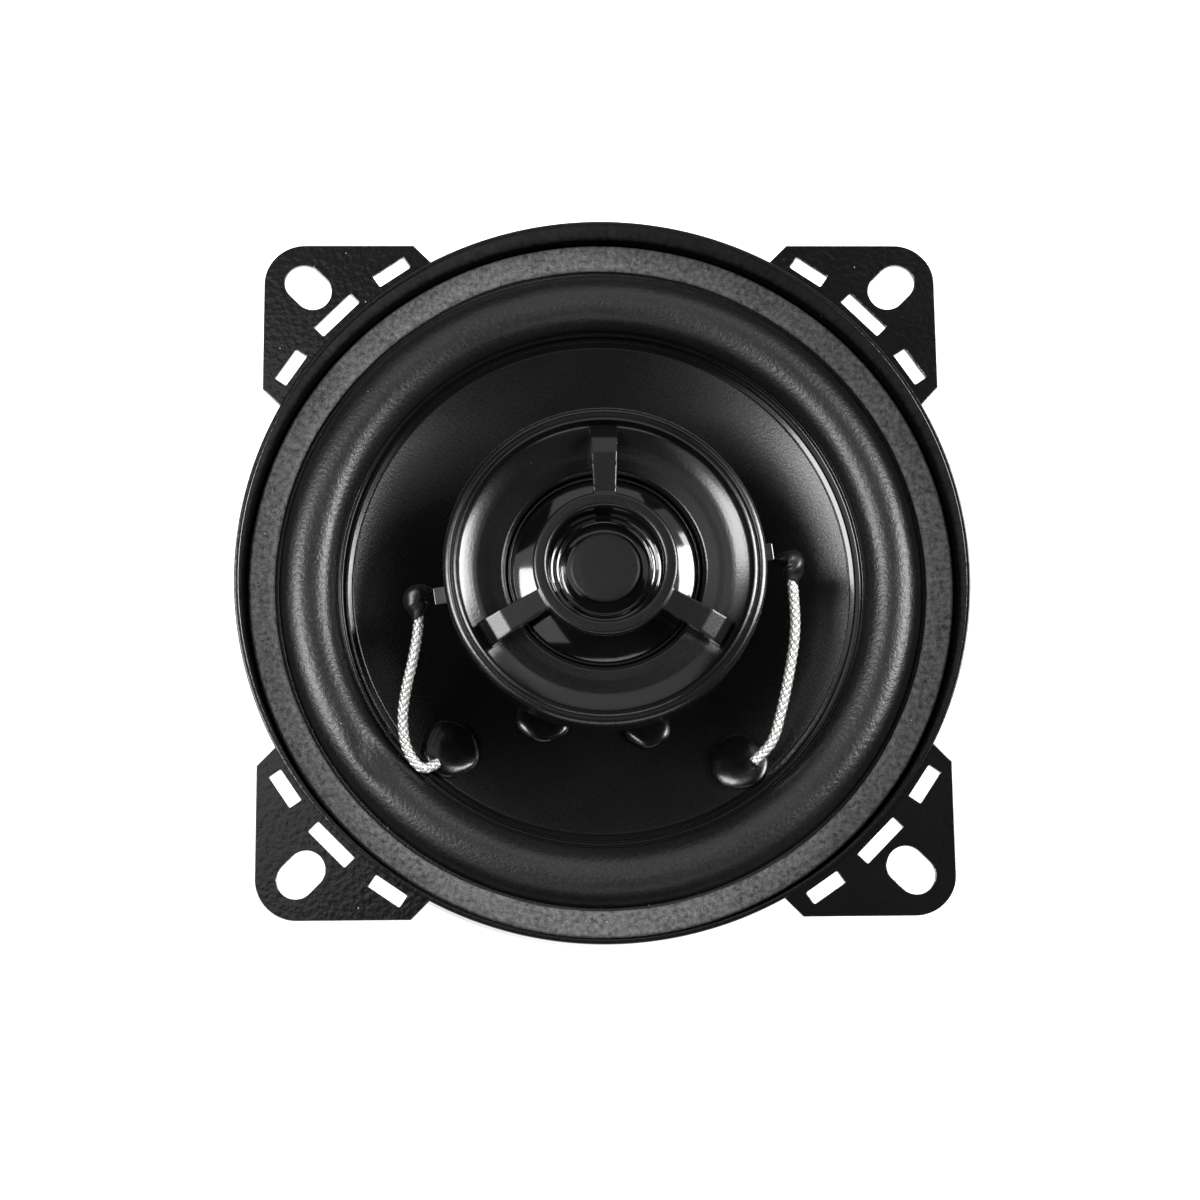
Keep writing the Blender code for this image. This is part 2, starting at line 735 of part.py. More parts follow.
def make_tweeter_diaphragm():
    """Film that falls in a broad curve to its edge, a double bead over the coil and a low dome."""
    wall = 0.3
    front = [
        (12.7, 46.15),
        (12.2, 46.5),
        (11.2, 46.95),
        (9.5, 47.45),
        (8.2, 47.7),
        (7.6, 47.75),
        (7.4, 47.95),
        (6.6, 47.95),
        (6.3, 47.8),
        (5.0, 48.05),
        (0.0, 48.1),
    ]
    back = [(r, z - wall) for r, z in front]
    turned("tweeter_diaphragm", front + back[::-1], FILM, SMALL_TURNS)
    turned("tweeter_coil", ring_outline(6.25, 6.85, 42.2, 47.0), COPPER, SMALL_TURNS)
    cap = [
        (0.0, 48.4),
        (4.8, 48.35),
        (4.8, 48.6),
        (4.4, 48.75),
        (2.5, 48.85),
        (0.0, 48.9),
    ]
    turned("tweeter_dome_cap", cap, FELT, 16)


# Leads and the crossover part

def make_leads():
    """Braided leads that the object holds at both ends, and the wires inside the tweeter."""
    front_left = [
        (-25.5, -5.0, 44.6),
        (-25.6, -8.0, 44.6),
        (-26.3, -11.8, 43.6),
        (-27.3, -15.8, 41.9),
        (-27.8, -19.5, 40.1),
        (-27.3, -23.3, 38.4),
        (-25.3, -25.9, 37.3),
        (-22.9, -25.1, 36.5),
    ]
    front_right = [
        (25.9, -0.5, 44.6),
        (26.2, -3.2, 44.4),
        (26.4, -8.0, 43.0),
        (25.7, -13.4, 41.1),
        (24.6, -18.8, 38.9),
        (23.4, -22.6, 37.5),
        (20.8, -25.4, 36.5),
    ]
    rear_left = [
        (-5.3, -34.8, 27.3),
        (-6.9, -33.4, 28.6),
        (-10.4, -30.9, 29.9),
        (-15.0, -28.0, 30.4),
        (-20.3, -24.7, 31.0),
    ]
    rear_right = [
        (5.3, -34.8, 27.3),
        (6.8, -33.5, 28.6),
        (9.6, -31.4, 29.8),
        (13.6, -29.2, 30.3),
        (18.4, -26.4, 31.0),
    ]
    tube("front_lead_left", front_left, 1.4, BRAID, 14)
    tube("front_lead_right", front_right, 1.4, BRAID, 14)
    tube("rear_lead_left", rear_left, 1.2, BRAID, 10)
    tube("rear_lead_right", rear_right, 1.2, BRAID, 10)
    wire_in = [
        (-17.8, -1.6, 44.8),
        (-17.6, 4.0, 44.8),
        (-14.5, 9.5, 44.5),
        (-9.0, 14.8, 44.1),
        (-4.7, 16.8, 43.9),
    ]
    wire_out = [(4.7, 16.8, 43.9), (8.2, 15.2, 43.6), (10.8, 11.8, 43.2), (10.2, 10.0, 43.0)]
    wire_back = [(17.8, 1.4, 44.8), (16.6, -1.6, 44.6), (14.8, -3.6, 43.8), (13.9, -4.2, 43.2)]
    tube("capacitor_wire_in", wire_in, 0.6, STEEL, 10, 1)
    tube("capacitor_wire_out", wire_out, 0.6, STEEL, 7, 1)
    tube("tweeter_return_wire", wire_back, 0.6, STEEL, 7, 1)
    body = disc_outline(2.0, -4.0, 4.0, 0.4)
    place = Matrix.Translation((0.0, 16.8, 43.9)) @ Matrix.Rotation(math.pi / 2, 4, "Y")
    turned("crossover_capacitor", body, SLEEVE, PIN_TURNS, place)


make_yoke()
make_magnet()
make_top_plate()
make_basket()
make_basket_rivets()
make_terminals()
make_gasket()
make_surround()
make_cone()
make_cone_fittings()
make_voice_coil()
make_spider()
make_support()
make_back_cover()
make_housing()
make_guard()
make_tweeter_tabs()
make_capsule()
make_tweeter_diaphragm()
make_leads()
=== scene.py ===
"""Looks of the four inch coaxial speaker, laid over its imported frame.

Sizes in the sections are millimetres and become metres where a mesh is made. The speaker lies
face up: +Z runs along its axis to the listener, and the rear of the yoke stands on the floor.
"""

import math

import bmesh
import bpy
import numpy as np
from mathutils import Matrix, Vector


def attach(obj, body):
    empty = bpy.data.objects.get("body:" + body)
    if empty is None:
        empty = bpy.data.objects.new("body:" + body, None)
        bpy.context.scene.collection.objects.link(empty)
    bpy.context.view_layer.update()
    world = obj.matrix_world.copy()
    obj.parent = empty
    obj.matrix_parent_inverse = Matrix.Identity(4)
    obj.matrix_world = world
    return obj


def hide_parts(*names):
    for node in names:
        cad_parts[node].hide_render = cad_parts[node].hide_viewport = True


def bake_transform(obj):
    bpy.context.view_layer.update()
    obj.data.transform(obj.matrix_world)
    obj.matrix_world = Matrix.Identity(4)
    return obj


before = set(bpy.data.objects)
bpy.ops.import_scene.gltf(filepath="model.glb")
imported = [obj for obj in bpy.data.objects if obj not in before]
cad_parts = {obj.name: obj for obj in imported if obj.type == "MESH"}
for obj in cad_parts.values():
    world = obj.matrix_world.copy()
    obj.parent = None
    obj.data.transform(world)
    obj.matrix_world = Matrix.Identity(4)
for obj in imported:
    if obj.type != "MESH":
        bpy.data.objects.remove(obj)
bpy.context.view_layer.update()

MM = 0.001


# ------------------------------------------------
# Floor, lights and camera
# A pale matt table, a strong softbox on each side of the speaker with a wide weak
# one behind it, and weak ones over, before and behind it, seen from nearly above.
# ------------------------------------------------
scene = bpy.context.scene
scene.view_settings.view_transform = "Standard"
scene.view_settings.look = "None"

world = bpy.data.worlds.new("studio")
world.use_nodes = True
world.node_tree.nodes["Background"].inputs["Color"].default_value = (0.95, 0.97, 1.0, 1.0)
world.node_tree.nodes["Background"].inputs["Strength"].default_value = 0.02
scene.world = world

floor_half = 6.0
floor_mesh = bpy.data.meshes.new("table_top")
corners = [(-1, -1), (1, -1), (1, 1), (-1, 1)]
floor_mesh.from_pydata([(x * floor_half, y * floor_half, 0.0) for x, y in corners], [], [(0, 1, 2, 3)])
table_top = bpy.data.objects.new("table_top", floor_mesh)
scene.collection.objects.link(table_top)
table_look = bpy.data.materials.new("pale_table")
table_look.use_nodes = True
table_shader = table_look.node_tree.nodes["Principled BSDF"]
table_shader.inputs["Base Color"].default_value = (0.86, 0.86, 0.86, 1.0)
table_shader.inputs["Roughness"].default_value = 0.9
table_shader.inputs["Specular IOR Level"].default_value = 0.1
table_shader.inputs["Emission Color"].default_value = (1.0, 1.0, 1.0, 1.0)
table_shader.inputs["Emission Strength"].default_value = 0.45
floor_mesh.materials.append(table_look)


def softbox(name, direction_deg, from_axis_deg, size, glow):
    """Rectangular light aimed at the middle of the speaker, at a compass direction and an angle from
    the axis. size is (along the circle, across it) in metres. Its power is its glow, in W per square
    metre and steradian, times pi times its area."""
    distance, aimed_at = 0.62, Vector((0.0, 0.0, 40.0 * MM))
    turn, lean = math.radians(direction_deg), math.radians(from_axis_deg)
    aim = Vector((math.sin(lean) * math.cos(turn), math.sin(lean) * math.sin(turn), math.cos(lean)))
    lamp = bpy.data.lights.new(name, "AREA")
    lamp.shape = "RECTANGLE"
    lamp.size, lamp.size_y = size
    lamp.energy = glow * math.pi * size[0] * size[1]
    stand = bpy.data.objects.new(name, lamp)
    side = Vector((0.0, 0.0, 1.0)).cross(aim).normalized()
    up = aim.cross(side)
    place = Matrix((side, up, aim)).transposed().to_4x4()
    place.translation = aim * distance + aimed_at
    stand.matrix_world = place
    scene.collection.objects.link(stand)


softbox("softbox_left", 179.0, 37.0, (0.26, 0.25), 18.0)
softbox("softbox_left_haze", 188.0, 42.0, (0.65, 0.42), 1.1)
softbox("softbox_over", 140.0, 15.0, (0.20, 0.20), 1.1)
softbox("softbox_right", 13.0, 52.0, (0.28, 0.30), 22.0)
softbox("softbox_right_low", 16.0, 61.0, (0.40, 0.16), 12.0)
softbox("softbox_right_haze", 25.0, 45.0, (0.60, 0.40), 0.7)
softbox("softbox_front", 275.0, 55.0, (0.60, 0.20), 2.2)
softbox("softbox_back", 92.0, 46.0, (0.50, 0.40), 0.8)

camera_data = bpy.data.cameras.new("camera")
camera_data.lens = 73.07
camera_data.sensor_width = 36.0
camera = bpy.data.objects.new("camera", camera_data)
eye = Vector((-11.57, -66.96, 373.56)) * MM
target = Vector((-0.60, -3.85, 45.0)) * MM
back = (eye - target).normalized()
right = Vector((0.0105, 0.99995, 0.0)).cross(back).normalized()
pose = Matrix((right, back.cross(right), back)).transposed().to_4x4()
pose.translation = eye
camera.matrix_world = pose
scene.collection.objects.link(camera)
scene.camera = camera


# ------------------------------------------------
# Magnet system
# A forged yoke and a stamped plate, both turned and zinc plated, hold a ring
# of grey ferrite that is ground flat on its two faces.
# ------------------------------------------------
def rounded(outline, radius, closed=True, steps=4):
    """Rounds the corners of a line of (radius, height) points. Near each corner the line leaves
    its straight run at most `radius` away and follows the parabola (1-t)^2 A + 2t(1-t) B + t^2 C
    to the next run. One extra point on each side keeps the flats flat when they are shaded."""
    points = np.asarray(outline, float)
    before, after = np.roll(points, 1, 0), np.roll(points, -1, 0)
    to_before, to_after = before - points, after - points
    reach_before = np.linalg.norm(to_before, axis=1)
    reach_after = np.linalg.norm(to_after, axis=1)
    cut = np.minimum(radius, 0.4 * np.minimum(reach_before, reach_after))
    on_axis = np.abs(points[:, 0]) < 1e-9
    cut[on_axis] = 0.0
    if not closed:
        cut[[0, -1]] = 0.0
    unit_before = to_before / np.maximum(reach_before, 1e-9)[:, None]
    unit_after = to_after / np.maximum(reach_after, 1e-9)[:, None]
    start, end = points + unit_before * cut[:, None], points + unit_after * cut[:, None]
    t = np.linspace(0.0, 1.0, steps + 1)[None, :, None]
    bend = (1 - t) ** 2 * start[:, None] + 2 * t * (1 - t) * points[:, None] + t**2 * end[:, None]
    lead_in = (points + unit_before * cut[:, None] * 1.2)[:, None]
    lead_out = (points + unit_after * cut[:, None] * 1.2)[:, None]
    line = np.concatenate([lead_in, bend, lead_out], axis=1).reshape(-1, 2)
    keep = np.r_[True, np.linalg.norm(np.diff(line, axis=0), axis=1) > 1e-5]
    return line[keep]


def skin(name, grid, wrap_rows=True, wrap_columns=True):
    """Quads over a grid of points in mm, shaped (rows, columns, 3) or (sheets, rows, columns, 3).
    Wrapped rows or columns join the last to the first. Points that fall together are merged."""
    grid = grid if grid.ndim == 4 else grid[None]
    sheets, rows, columns = grid.shape[:3]
    index = np.arange(sheets * rows * columns).reshape(sheets, rows, columns)
    if wrap_rows:
        index = np.concatenate([index, index[:, :1]], 1)
    if wrap_columns:
        index = np.concatenate([index, index[:, :, :1]], 2)
    quads = [index[:, :-1, :-1], index[:, 1:, :-1], index[:, 1:, 1:], index[:, :-1, 1:]]
    mesh = bpy.data.meshes.new(name)
    mesh.from_pydata((grid.reshape(-1, 3) * MM).tolist(), [], np.stack(quads, -1).reshape(-1, 4).tolist())
    return weld(name, mesh)


def weld(name, mesh):
    """Merges doubled points, turns the faces outward and makes a smooth shaded object."""
    bm = bmesh.new()
    bm.from_mesh(mesh)
    bmesh.ops.remove_doubles(bm, verts=bm.verts, dist=1e-3 * MM)
    bmesh.ops.recalc_face_normals(bm, faces=bm.faces)
    bm.to_mesh(mesh)
    bm.free()
    mesh.shade_smooth()
    made = bpy.data.objects.new(name, mesh)
    scene.collection.objects.link(made)
    return made


def round_axis(r, angle, z):
    """Points (r cos a, r sin a, z), one row for each angle a."""
    return np.stack(np.broadcast_arrays(r * np.cos(angle), r * np.sin(angle), z), -1)


def full_turn(count):
    """A column of evenly spaced angles, once round the axis."""
    return np.linspace(0.0, math.tau, count, endpoint=False)[:, None]


def turned(name, outline, radius=0.25, around=256, place=None):
    """Surface of revolution of an outline of (r, z) points, with its corners rounded by the radius.
    place, a 4 x 4 matrix in mm, then sets it where it belongs."""
    line = rounded(outline, radius)
    return skin(name, moved(round_axis(line[:, 0], full_turn(around), line[:, 1]), place))


def moved(grid, place):
    """The grid's points taken through a 4 x 4 matrix."""
    if place is None:
        return grid
    matrix = np.array(place)
    return grid @ matrix[:3, :3].T + matrix[:3, 3]


def grain(
    size, depth=0.0, tone=0.0, sheen=0.0, stretch=(1.0, 1.0, 1.0), turn=0.0, cut=None, kind="noise",
    detail=3.0,
):
    """One layer of a finish: a pattern of that grain size in mm that stands up to depth mm proud
    and swings the tone and the roughness. cut=(low, high) keeps only the pattern's peaks."""
    return dict(
        size=size, depth=depth, tone=tone, sheen=sheen, stretch=stretch, turn=turn, cut=cut,
        kind=kind, detail=detail,
    )


def finish(name, dark, light, rough, layers, metal=0.0, dust=None, **sockets):
    """A finish on Object coordinates. Each layer's pattern n (0 to 1) adds tone x (n - 1/2) to the
    mix of the dark and the light colour, sheen x (n - 1/2) to the roughness and depth x n to the
    height that bends the normal. dust=(spacing, radius, share) in mm scatters pale specks."""
    look = bpy.data.materials.new(name)
    look.use_nodes = True
    nodes, links = look.node_tree.nodes, look.node_tree.links
    shader = nodes["Principled BSDF"]
    shader.inputs["Metallic"].default_value = metal
    for socket, value in sockets.items():
        shader.inputs[socket.replace("_", " ")].default_value = value
    where = nodes.new("ShaderNodeTexCoord").outputs["Object"]

    def sum_up(operation, *values):
        """The result of a sum of numbers and sockets."""
        step = nodes.new("ShaderNodeMath")
        step.operation = operation
        for socket, value in zip(step.inputs, values):
            if isinstance(value, float):
                socket.default_value = value
            else:
                links.new(value, socket)
        return step.outputs[0]

    tone = 0.5 - 0.5 * sum(layer["tone"] for layer in layers if not layer["cut"])
    sheen = rough - 0.5 * sum(layer["sheen"] for layer in layers if not layer["cut"])
    height = 0.0
    for layer in layers:
        source = where
        if layer["kind"] == "rings":
            flat = nodes.new("ShaderNodeVectorMath")
            flat.operation = "MULTIPLY"
            links.new(source, flat.inputs[0])
            flat.inputs[1].default_value = (1.0, 1.0, 0.0)
            far = nodes.new("ShaderNodeVectorMath")
            far.operation = "LENGTH"
            links.new(flat.outputs[0], far.inputs[0])
            pattern = nodes.new("ShaderNodeTexNoise")
            pattern.noise_dimensions = "1D"
            links.new(far.outputs["Value"], pattern.inputs["W"])
            value = pattern.outputs[0]
        else:
            mapping = nodes.new("ShaderNodeMapping")
            mapping.vector_type = "TEXTURE"
            mapping.inputs["Rotation"].default_value = (0.0, 0.0, math.radians(layer["turn"]))
            mapping.inputs["Scale"].default_value = layer["stretch"]
            links.new(source, mapping.inputs["Vector"])
            kinds = {"noise": "ShaderNodeTexNoise", "cells": "ShaderNodeTexVoronoi"}
            pattern = nodes.new(kinds[layer["kind"]])
            links.new(mapping.outputs[0], pattern.inputs["Vector"])
            value = pattern.outputs[0]
        pattern.inputs["Scale"].default_value = 1.0 / (layer["size"] * MM)
        pattern.inputs["Detail"].default_value = layer["detail"] if layer["kind"] != "cells" else 0.0
        if layer["cut"]:
            ramp = nodes.new("ShaderNodeMapRange")
            ramp.inputs["From Min"].default_value, ramp.inputs["From Max"].default_value = layer["cut"]
            links.new(value, ramp.inputs["Value"])
            value = ramp.outputs[0]
        if layer["tone"]:
            tone = sum_up("MULTIPLY_ADD", value, layer["tone"], tone)
        if layer["sheen"]:
            sheen = sum_up("MULTIPLY_ADD", value, layer["sheen"], sheen)
        if layer["depth"]:
            height = sum_up("MULTIPLY_ADD", value, layer["depth"], height)
    if isinstance(tone, float):
        shader.inputs["Base Color"].default_value = (*[(a + b) / 2 for a, b in zip(dark, light)], 1.0)
    else:
        ramp = nodes.new("ShaderNodeValToRGB")
        ramp.color_ramp.elements[0].color = (*dark, 1.0)
        ramp.color_ramp.elements[1].color = (*light, 1.0)
        links.new(tone, ramp.inputs[0])
        colour = ramp.outputs[0]
        if dust:
            spacing, radius, share = dust
            cells = nodes.new("ShaderNodeTexVoronoi")
            cells.inputs["Scale"].default_value = 1.0 / (spacing * MM)
            links.new(where, cells.inputs["Vector"])
            near = sum_up("LESS_THAN", cells.outputs["Distance"], radius / spacing)
            parts = nodes.new("ShaderNodeSeparateColor")
            links.new(cells.outputs["Color"], parts.inputs[0])
            chosen = sum_up("LESS_THAN", parts.outputs[0], share)
            mix = nodes.new("ShaderNodeMix")
            mix.data_type = "RGBA"
            links.new(sum_up("MULTIPLY", near, chosen), mix.inputs[0])
            links.new(colour, mix.inputs[6])
            mix.inputs[7].default_value = (0.30, 0.29, 0.27, 1.0)
            colour = mix.outputs[2]
        links.new(colour, shader.inputs["Base Color"])
    if isinstance(sheen, float):
        shader.inputs["Roughness"].default_value = sheen
    else:
        links.new(sheen, shader.inputs["Roughness"])
    if not isinstance(height, float):
        bump = nodes.new("ShaderNodeBump")
        bump.inputs["Distance"].default_value = MM
        links.new(height, bump.inputs["Height"])
        links.new(bump.outputs[0], shader.inputs["Normal"])
    return look


def fit(piece, look, body, slot, *nodes):
    """Gives a new piece its finish and its body, and hides the frame's nodes that it stands for; slot is
    not used.
    """
    piece.data.materials.clear()
    piece.data.materials.append(look)
    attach(piece, body)
    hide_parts(*nodes)
    return piece


def dress(look, *names):
    """Puts a finish on the frame's own nodes."""
    for name in names:
        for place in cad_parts[name].material_slots:
            place.link = "OBJECT"
            place.material = look


zinc_plate = finish(
    "zinc_plate", (0.36, 0.37, 0.38), (0.62, 0.62, 0.61), 0.34,
    [grain(7.0, tone=0.5, sheen=0.16), grain(0.5, depth=0.004, tone=0.25, sheen=0.1)], metal=1.0,
)
turned_steel = finish(
    "turned_steel", (0.33, 0.34, 0.35), (0.66, 0.66, 0.65), 0.3,
    [
        grain(0.35, depth=0.006, tone=0.3, sheen=0.1, kind="rings", detail=2.0),
        grain(9.0, tone=0.5, sheen=0.15),
        grain(0.3, depth=0.002, sheen=0.08),
    ],
    metal=1.0,
)
ferrite_grey = finish(
    "ferrite_grey", (0.016, 0.016, 0.018), (0.05, 0.05, 0.055), 0.6,
    [
        grain(6.0, tone=0.5, sheen=0.1),
        grain(0.25, depth=0.02, tone=0.5, sheen=0.2),
        grain(1.1, depth=0.05, cut=(0.62, 0.8)),
    ],
)
yoke = turned("yoke_forging", [
    (4.7, 0.0), (30.9, 0.0), (31.5, 0.6), (31.5, 3.9), (30.9, 4.5), (13.2, 4.5), (12.2, 5.5),
    (12.2, 19.1), (11.7, 19.6), (2.3, 19.6), (2.3, 3.4), (4.7, 3.4),
], 0.3)
fit(yoke, turned_steel, "frame", "zinc_steel", "t_yoke")
ferrite_ring = turned("ferrite_ring", [
    (17.5, 4.8), (34.2, 4.8), (35.0, 5.6), (35.0, 14.0), (34.2, 14.8), (17.5, 14.8),
], 0.35)
fit(ferrite_ring, ferrite_grey, "frame", "ferrite", "magnet")
plate_ring = turned("plate_ring", [
    (14.1, 15.1), (31.5, 15.1), (32.0, 15.6), (32.0, 18.6), (31.5, 19.1), (14.1, 19.1),
], 0.25)
fit(plate_ring, turned_steel, "frame", "zinc_steel", "top_plate")


# ------------------------------------------------
# Basket
# One pressing of 0.7 mm steel: floor, shelf, four sloping legs with windows
# between them, a landing and a deep rim, with four slotted corner tabs. It is
# sprayed black, and the paint has a fine orange peel.
# ------------------------------------------------
black_paint = finish(
    "black_paint", (0.0015, 0.0015, 0.0016), (0.004, 0.004, 0.0042), 0.17,
    [
        grain(9.0, tone=0.4, sheen=0.05),
        grain(0.8, depth=0.045, sheen=0.04, detail=1.5),
        grain(0.22, depth=0.004, tone=0.2, sheen=0.06),
    ],
    dust=(2.4, 0.09, 0.35),
    Specular_IOR_Level=0.5,
)


def finished_mesh(name, piece):
    """A new object with the piece's modifiers worked into its mesh."""
    depsgraph = bpy.context.evaluated_depsgraph_get()
    mesh = bpy.data.meshes.new_from_object(piece.evaluated_get(depsgraph))
    bpy.data.objects.remove(piece, do_unlink=True)
    mesh.name = name
    made = bpy.data.objects.new(name, mesh)
    scene.collection.objects.link(made)
    return made


def plate(name, loops, low, high, edge=0.1):
    """Flat stamping: the area inside the first loop of (x, y) points and outside the others,
    filled as a flat curve, thickened from low to high and eased along its edges."""
    curve = bpy.data.curves.new(name, "CURVE")
    curve.dimensions = "2D"
    curve.fill_mode = "BOTH"
    curve.extrude = ((high - low) / 2 - edge) * MM
    curve.bevel_depth = edge * MM
    curve.bevel_resolution = 1
    curve.offset = -edge * MM
    for loop in loops:
        loop = np.asarray(loop, float)
        spline = curve.splines.new("POLY")
        spline.use_cyclic_u = True
        spline.points.add(len(loop) - 1)
        spline.points.foreach_set("co", np.c_[loop * MM, np.zeros(len(loop)), np.ones(len(loop))].ravel())
    flat = bpy.data.objects.new(name, curve)
    scene.collection.objects.link(flat)
    bpy.context.view_layer.update()
    made = finished_mesh(name, flat)
    made.data.transform(Matrix.Translation((0.0, 0.0, (low + high) / 2 * MM)))
    mesh = made.data
    bpy.data.objects.remove(made)
    made = weld(name, mesh)
    made.data.set_sharp_from_angle(angle=math.radians(20.0))
    return made


def joined(name, *parts):
    """Several meshes as one object."""
    bm = bmesh.new()
    for part in parts:
        bm.from_mesh(part.data)
        bpy.data.objects.remove(part, do_unlink=True)
    mesh = bpy.data.meshes.new(name)
    bm.to_mesh(mesh)
    bm.free()
    made = bpy.data.objects.new(name, mesh)
    scene.collection.objects.link(made)
    return made


def arc(centre, radius, start_deg, end_deg, count):
    """Points of an arc, both ends included."""
    angle = np.radians(np.linspace(start_deg, end_deg, count))
    return np.c_[centre[0] + radius * np.cos(angle), centre[1] + radius * np.sin(angle)]


def rotated(points, degrees):
    """Plan points turned around the axis."""
    c, s = math.cos(math.radians(degrees)), math.sin(math.radians(degrees))
    return np.asarray(points, float) @ np.array([[c, s], [-s, c]])


def box_loop(x0, x1, y0, y1, radius):
    """Rectangle with rounded corners."""
    return rounded([(x0, y0), (x1, y0), (x1, y1), (x0, y1)], radius)


def pressed_shell():
    """Sheet turned from the pressing's inner line. In the sloping part the columns between the
    two edges of a window move: at the distance d from the window's side, edge lines stand
    R - sqrt(R^2 - (R - d)^2) inside it, which rounds the window's corners. Its quads are left out."""
    inner_r, outer_r, half_deg, corner = 33.9, 43.3, 29.0, 2.6
    wall_r = 50.1
    line = rounded([
        (14.6, 20.1), (25.9, 20.1), (27.7, 23.8), (32.0, 23.8), (32.8, 24.1), (43.5, 34.6),
        (45.2, 35.6), (49.6, 35.6), (wall_r, 35.9), (wall_r, 45.0),
    ], 0.9, closed=False, steps=6)
    share = np.linspace(0.0, 1.0, 9)
    low, high = line[line[:, 0] < inner_r - 0.1], line[line[:, 0] > outer_r + 0.1]
    profile_r = np.r_[low[:, 0], inner_r + share * (outer_r - inner_r), high[:, 0]]
    columns = np.arange(len(low), len(low) + len(share))
    around = 720
    degrees = np.arange(around) * 360.0 / around
    off_centre = np.abs((degrees + 45.0) % 90.0 - 45.0)
    inside = np.clip(np.radians(half_deg - off_centre) * (inner_r + outer_r) / 2, 0.0, corner)
    relief = corner - np.sqrt(np.maximum(corner**2 - (corner - inside) ** 2, 0.0))
    r = np.broadcast_to(profile_r, (around, len(profile_r))).copy()
    near, far = (inner_r + relief)[:, None], (outer_r - relief)[:, None]
    r[:, columns] = near + (far - near) * share
    z = np.broadcast_to(np.r_[low[:, 1], share * 0.0, high[:, 1]], r.shape).copy()
    (foot_r, foot_z), (head_r, head_z) = (32.8, 24.1), (43.5, 34.6)
    z[:, columns] = foot_z + (r[:, columns] - foot_r) * (head_z - foot_z) / (head_r - foot_r)
    grid = round_axis(r, np.radians(degrees)[:, None], z)
    index = np.arange(r.size).reshape(r.shape)
    index = np.vstack([index, index[:1]])
    quads = np.stack([index[:-1, :-1], index[1:, :-1], index[1:, 1:], index[:-1, 1:]], -1)
    middle = np.abs((degrees + 180.0 / around + 45.0) % 90.0 - 45.0) < half_deg
    open_cell = np.zeros(quads.shape[:2], bool)
    open_cell[np.ix_(middle, columns[:-1])] = True
    mesh = bpy.data.meshes.new("pressed_shell")
    mesh.from_pydata((grid.reshape(-1, 3) * MM).tolist(), [], quads[~open_cell].tolist())
    sheet = bpy.data.objects.new("pressed_shell", mesh)
    scene.collection.objects.link(sheet)
    wall = sheet.modifiers.new("wall", "SOLIDIFY")
    wall.thickness = 0.7 * MM
    wall.offset = 1.0
    wall.use_even_offset = True
    ease = sheet.modifiers.new("ease", "BEVEL")
    ease.width = 0.2 * MM
    ease.segments = 3
    ease.limit_method = "ANGLE"
    ease.angle_limit = math.radians(60.0)
    bpy.context.view_layer.update()
    made = finished_mesh("pressed_shell", sheet)
    mesh = made.data
    bpy.data.objects.remove(made)
    return weld("pressed_shell", mesh)


def corner_tab(turn):
    """Plan of a corner tab: square corner, screw slot and three stress windows along the rim."""
    half, bend, edge_end, cut = 47.3, 5.7, 26.4, 2.6
    outline = np.vstack([
        arc((0.0, 0.0), 50.45, 62.0, 28.0, 24),
        [(half - cut, edge_end - cut), (half, edge_end)],
        arc((half - bend, half - bend), bend, 0.0, 90.0, 18),
        [(edge_end, half), (edge_end - cut, half - cut)],
    ])
    slot_r, slot_long, slot_wide = 58.2, 7.1, 5.2
    slot_half = (slot_long - slot_wide) / 2
    slot = np.vstack([
        arc((slot_r + slot_half, 0.0), slot_wide / 2, -90.0, 90.0, 24),
        arc((slot_r - slot_half, 0.0), slot_wide / 2, 90.0, 270.0, 24),
    ])
    near, deep = 51.55, 1.9
    holes = [rotated(slot, 45.0)]
    for degrees, wide in ((-10.8, 2.55), (0.0, 3.5), (10.8, 2.55)):
        holes.append(rotated(box_loop(near, near + deep, -wide, wide, 0.25), 45.0 + degrees))
    loops = [rotated(loop, turn) for loop in [outline, *holes]]
    return plate("tab", loops, 43.75, 44.65, 0.12)


shell = pressed_shell()
tabs = [corner_tab(90.0 * k) for k in range(4)]
tongue = plate("tongue", [box_loop(-8.5, 8.5, -41.0, -31.0, 1.0)], 23.15, 23.75)
basket = joined("pressed_basket", shell, tongue, *tabs)
flats = basket.modifiers.new("flats", "WEIGHTED_NORMAL")
flats.weight = 80
flats.keep_sharp = True
fit(basket, black_paint, "frame", "black_paint", "basket")
dress(zinc_plate, *[f"basket_rivet_{k}" for k in range(1, 5)])


# ------------------------------------------------
# Terminals
# A brown paper board on the basket's tongue carries a wide and a narrow tinned
# blade, each held by a hollow brass rivet.
# ------------------------------------------------
paper_board = finish(
    "paper_board", (0.10, 0.035, 0.012), (0.26, 0.11, 0.045), 0.5,
    [
        grain(4.0, tone=0.5, sheen=0.15),
        grain(0.2, tone=0.6, depth=0.01, stretch=(5.0, 1.0, 1.0)),
        grain(0.1, depth=0.006, sheen=0.15),
    ],
)
tinned_strip = finish(
    "tinned_strip", (0.42, 0.42, 0.41), (0.74, 0.73, 0.71), 0.3,
    [grain(3.0, tone=0.6, sheen=0.2), grain(0.3, depth=0.004, tone=0.3, stretch=(1.0, 8.0, 1.0))],
    metal=1.0,
)
rivet_brass = finish(
    "rivet_brass", (0.42, 0.28, 0.10), (0.78, 0.58, 0.28), 0.3,
    [grain(1.2, tone=0.7, sheen=0.2), grain(0.15, depth=0.005, sheen=0.1)], metal=1.0,
)
board = plate("terminal_card", [box_loop(-9.0, 9.0, -41.6, -34.3, 0.8)], 24.1, 25.6, 0.12)
fit(board, paper_board, "frame", "phenolic_board", "terminal_board")
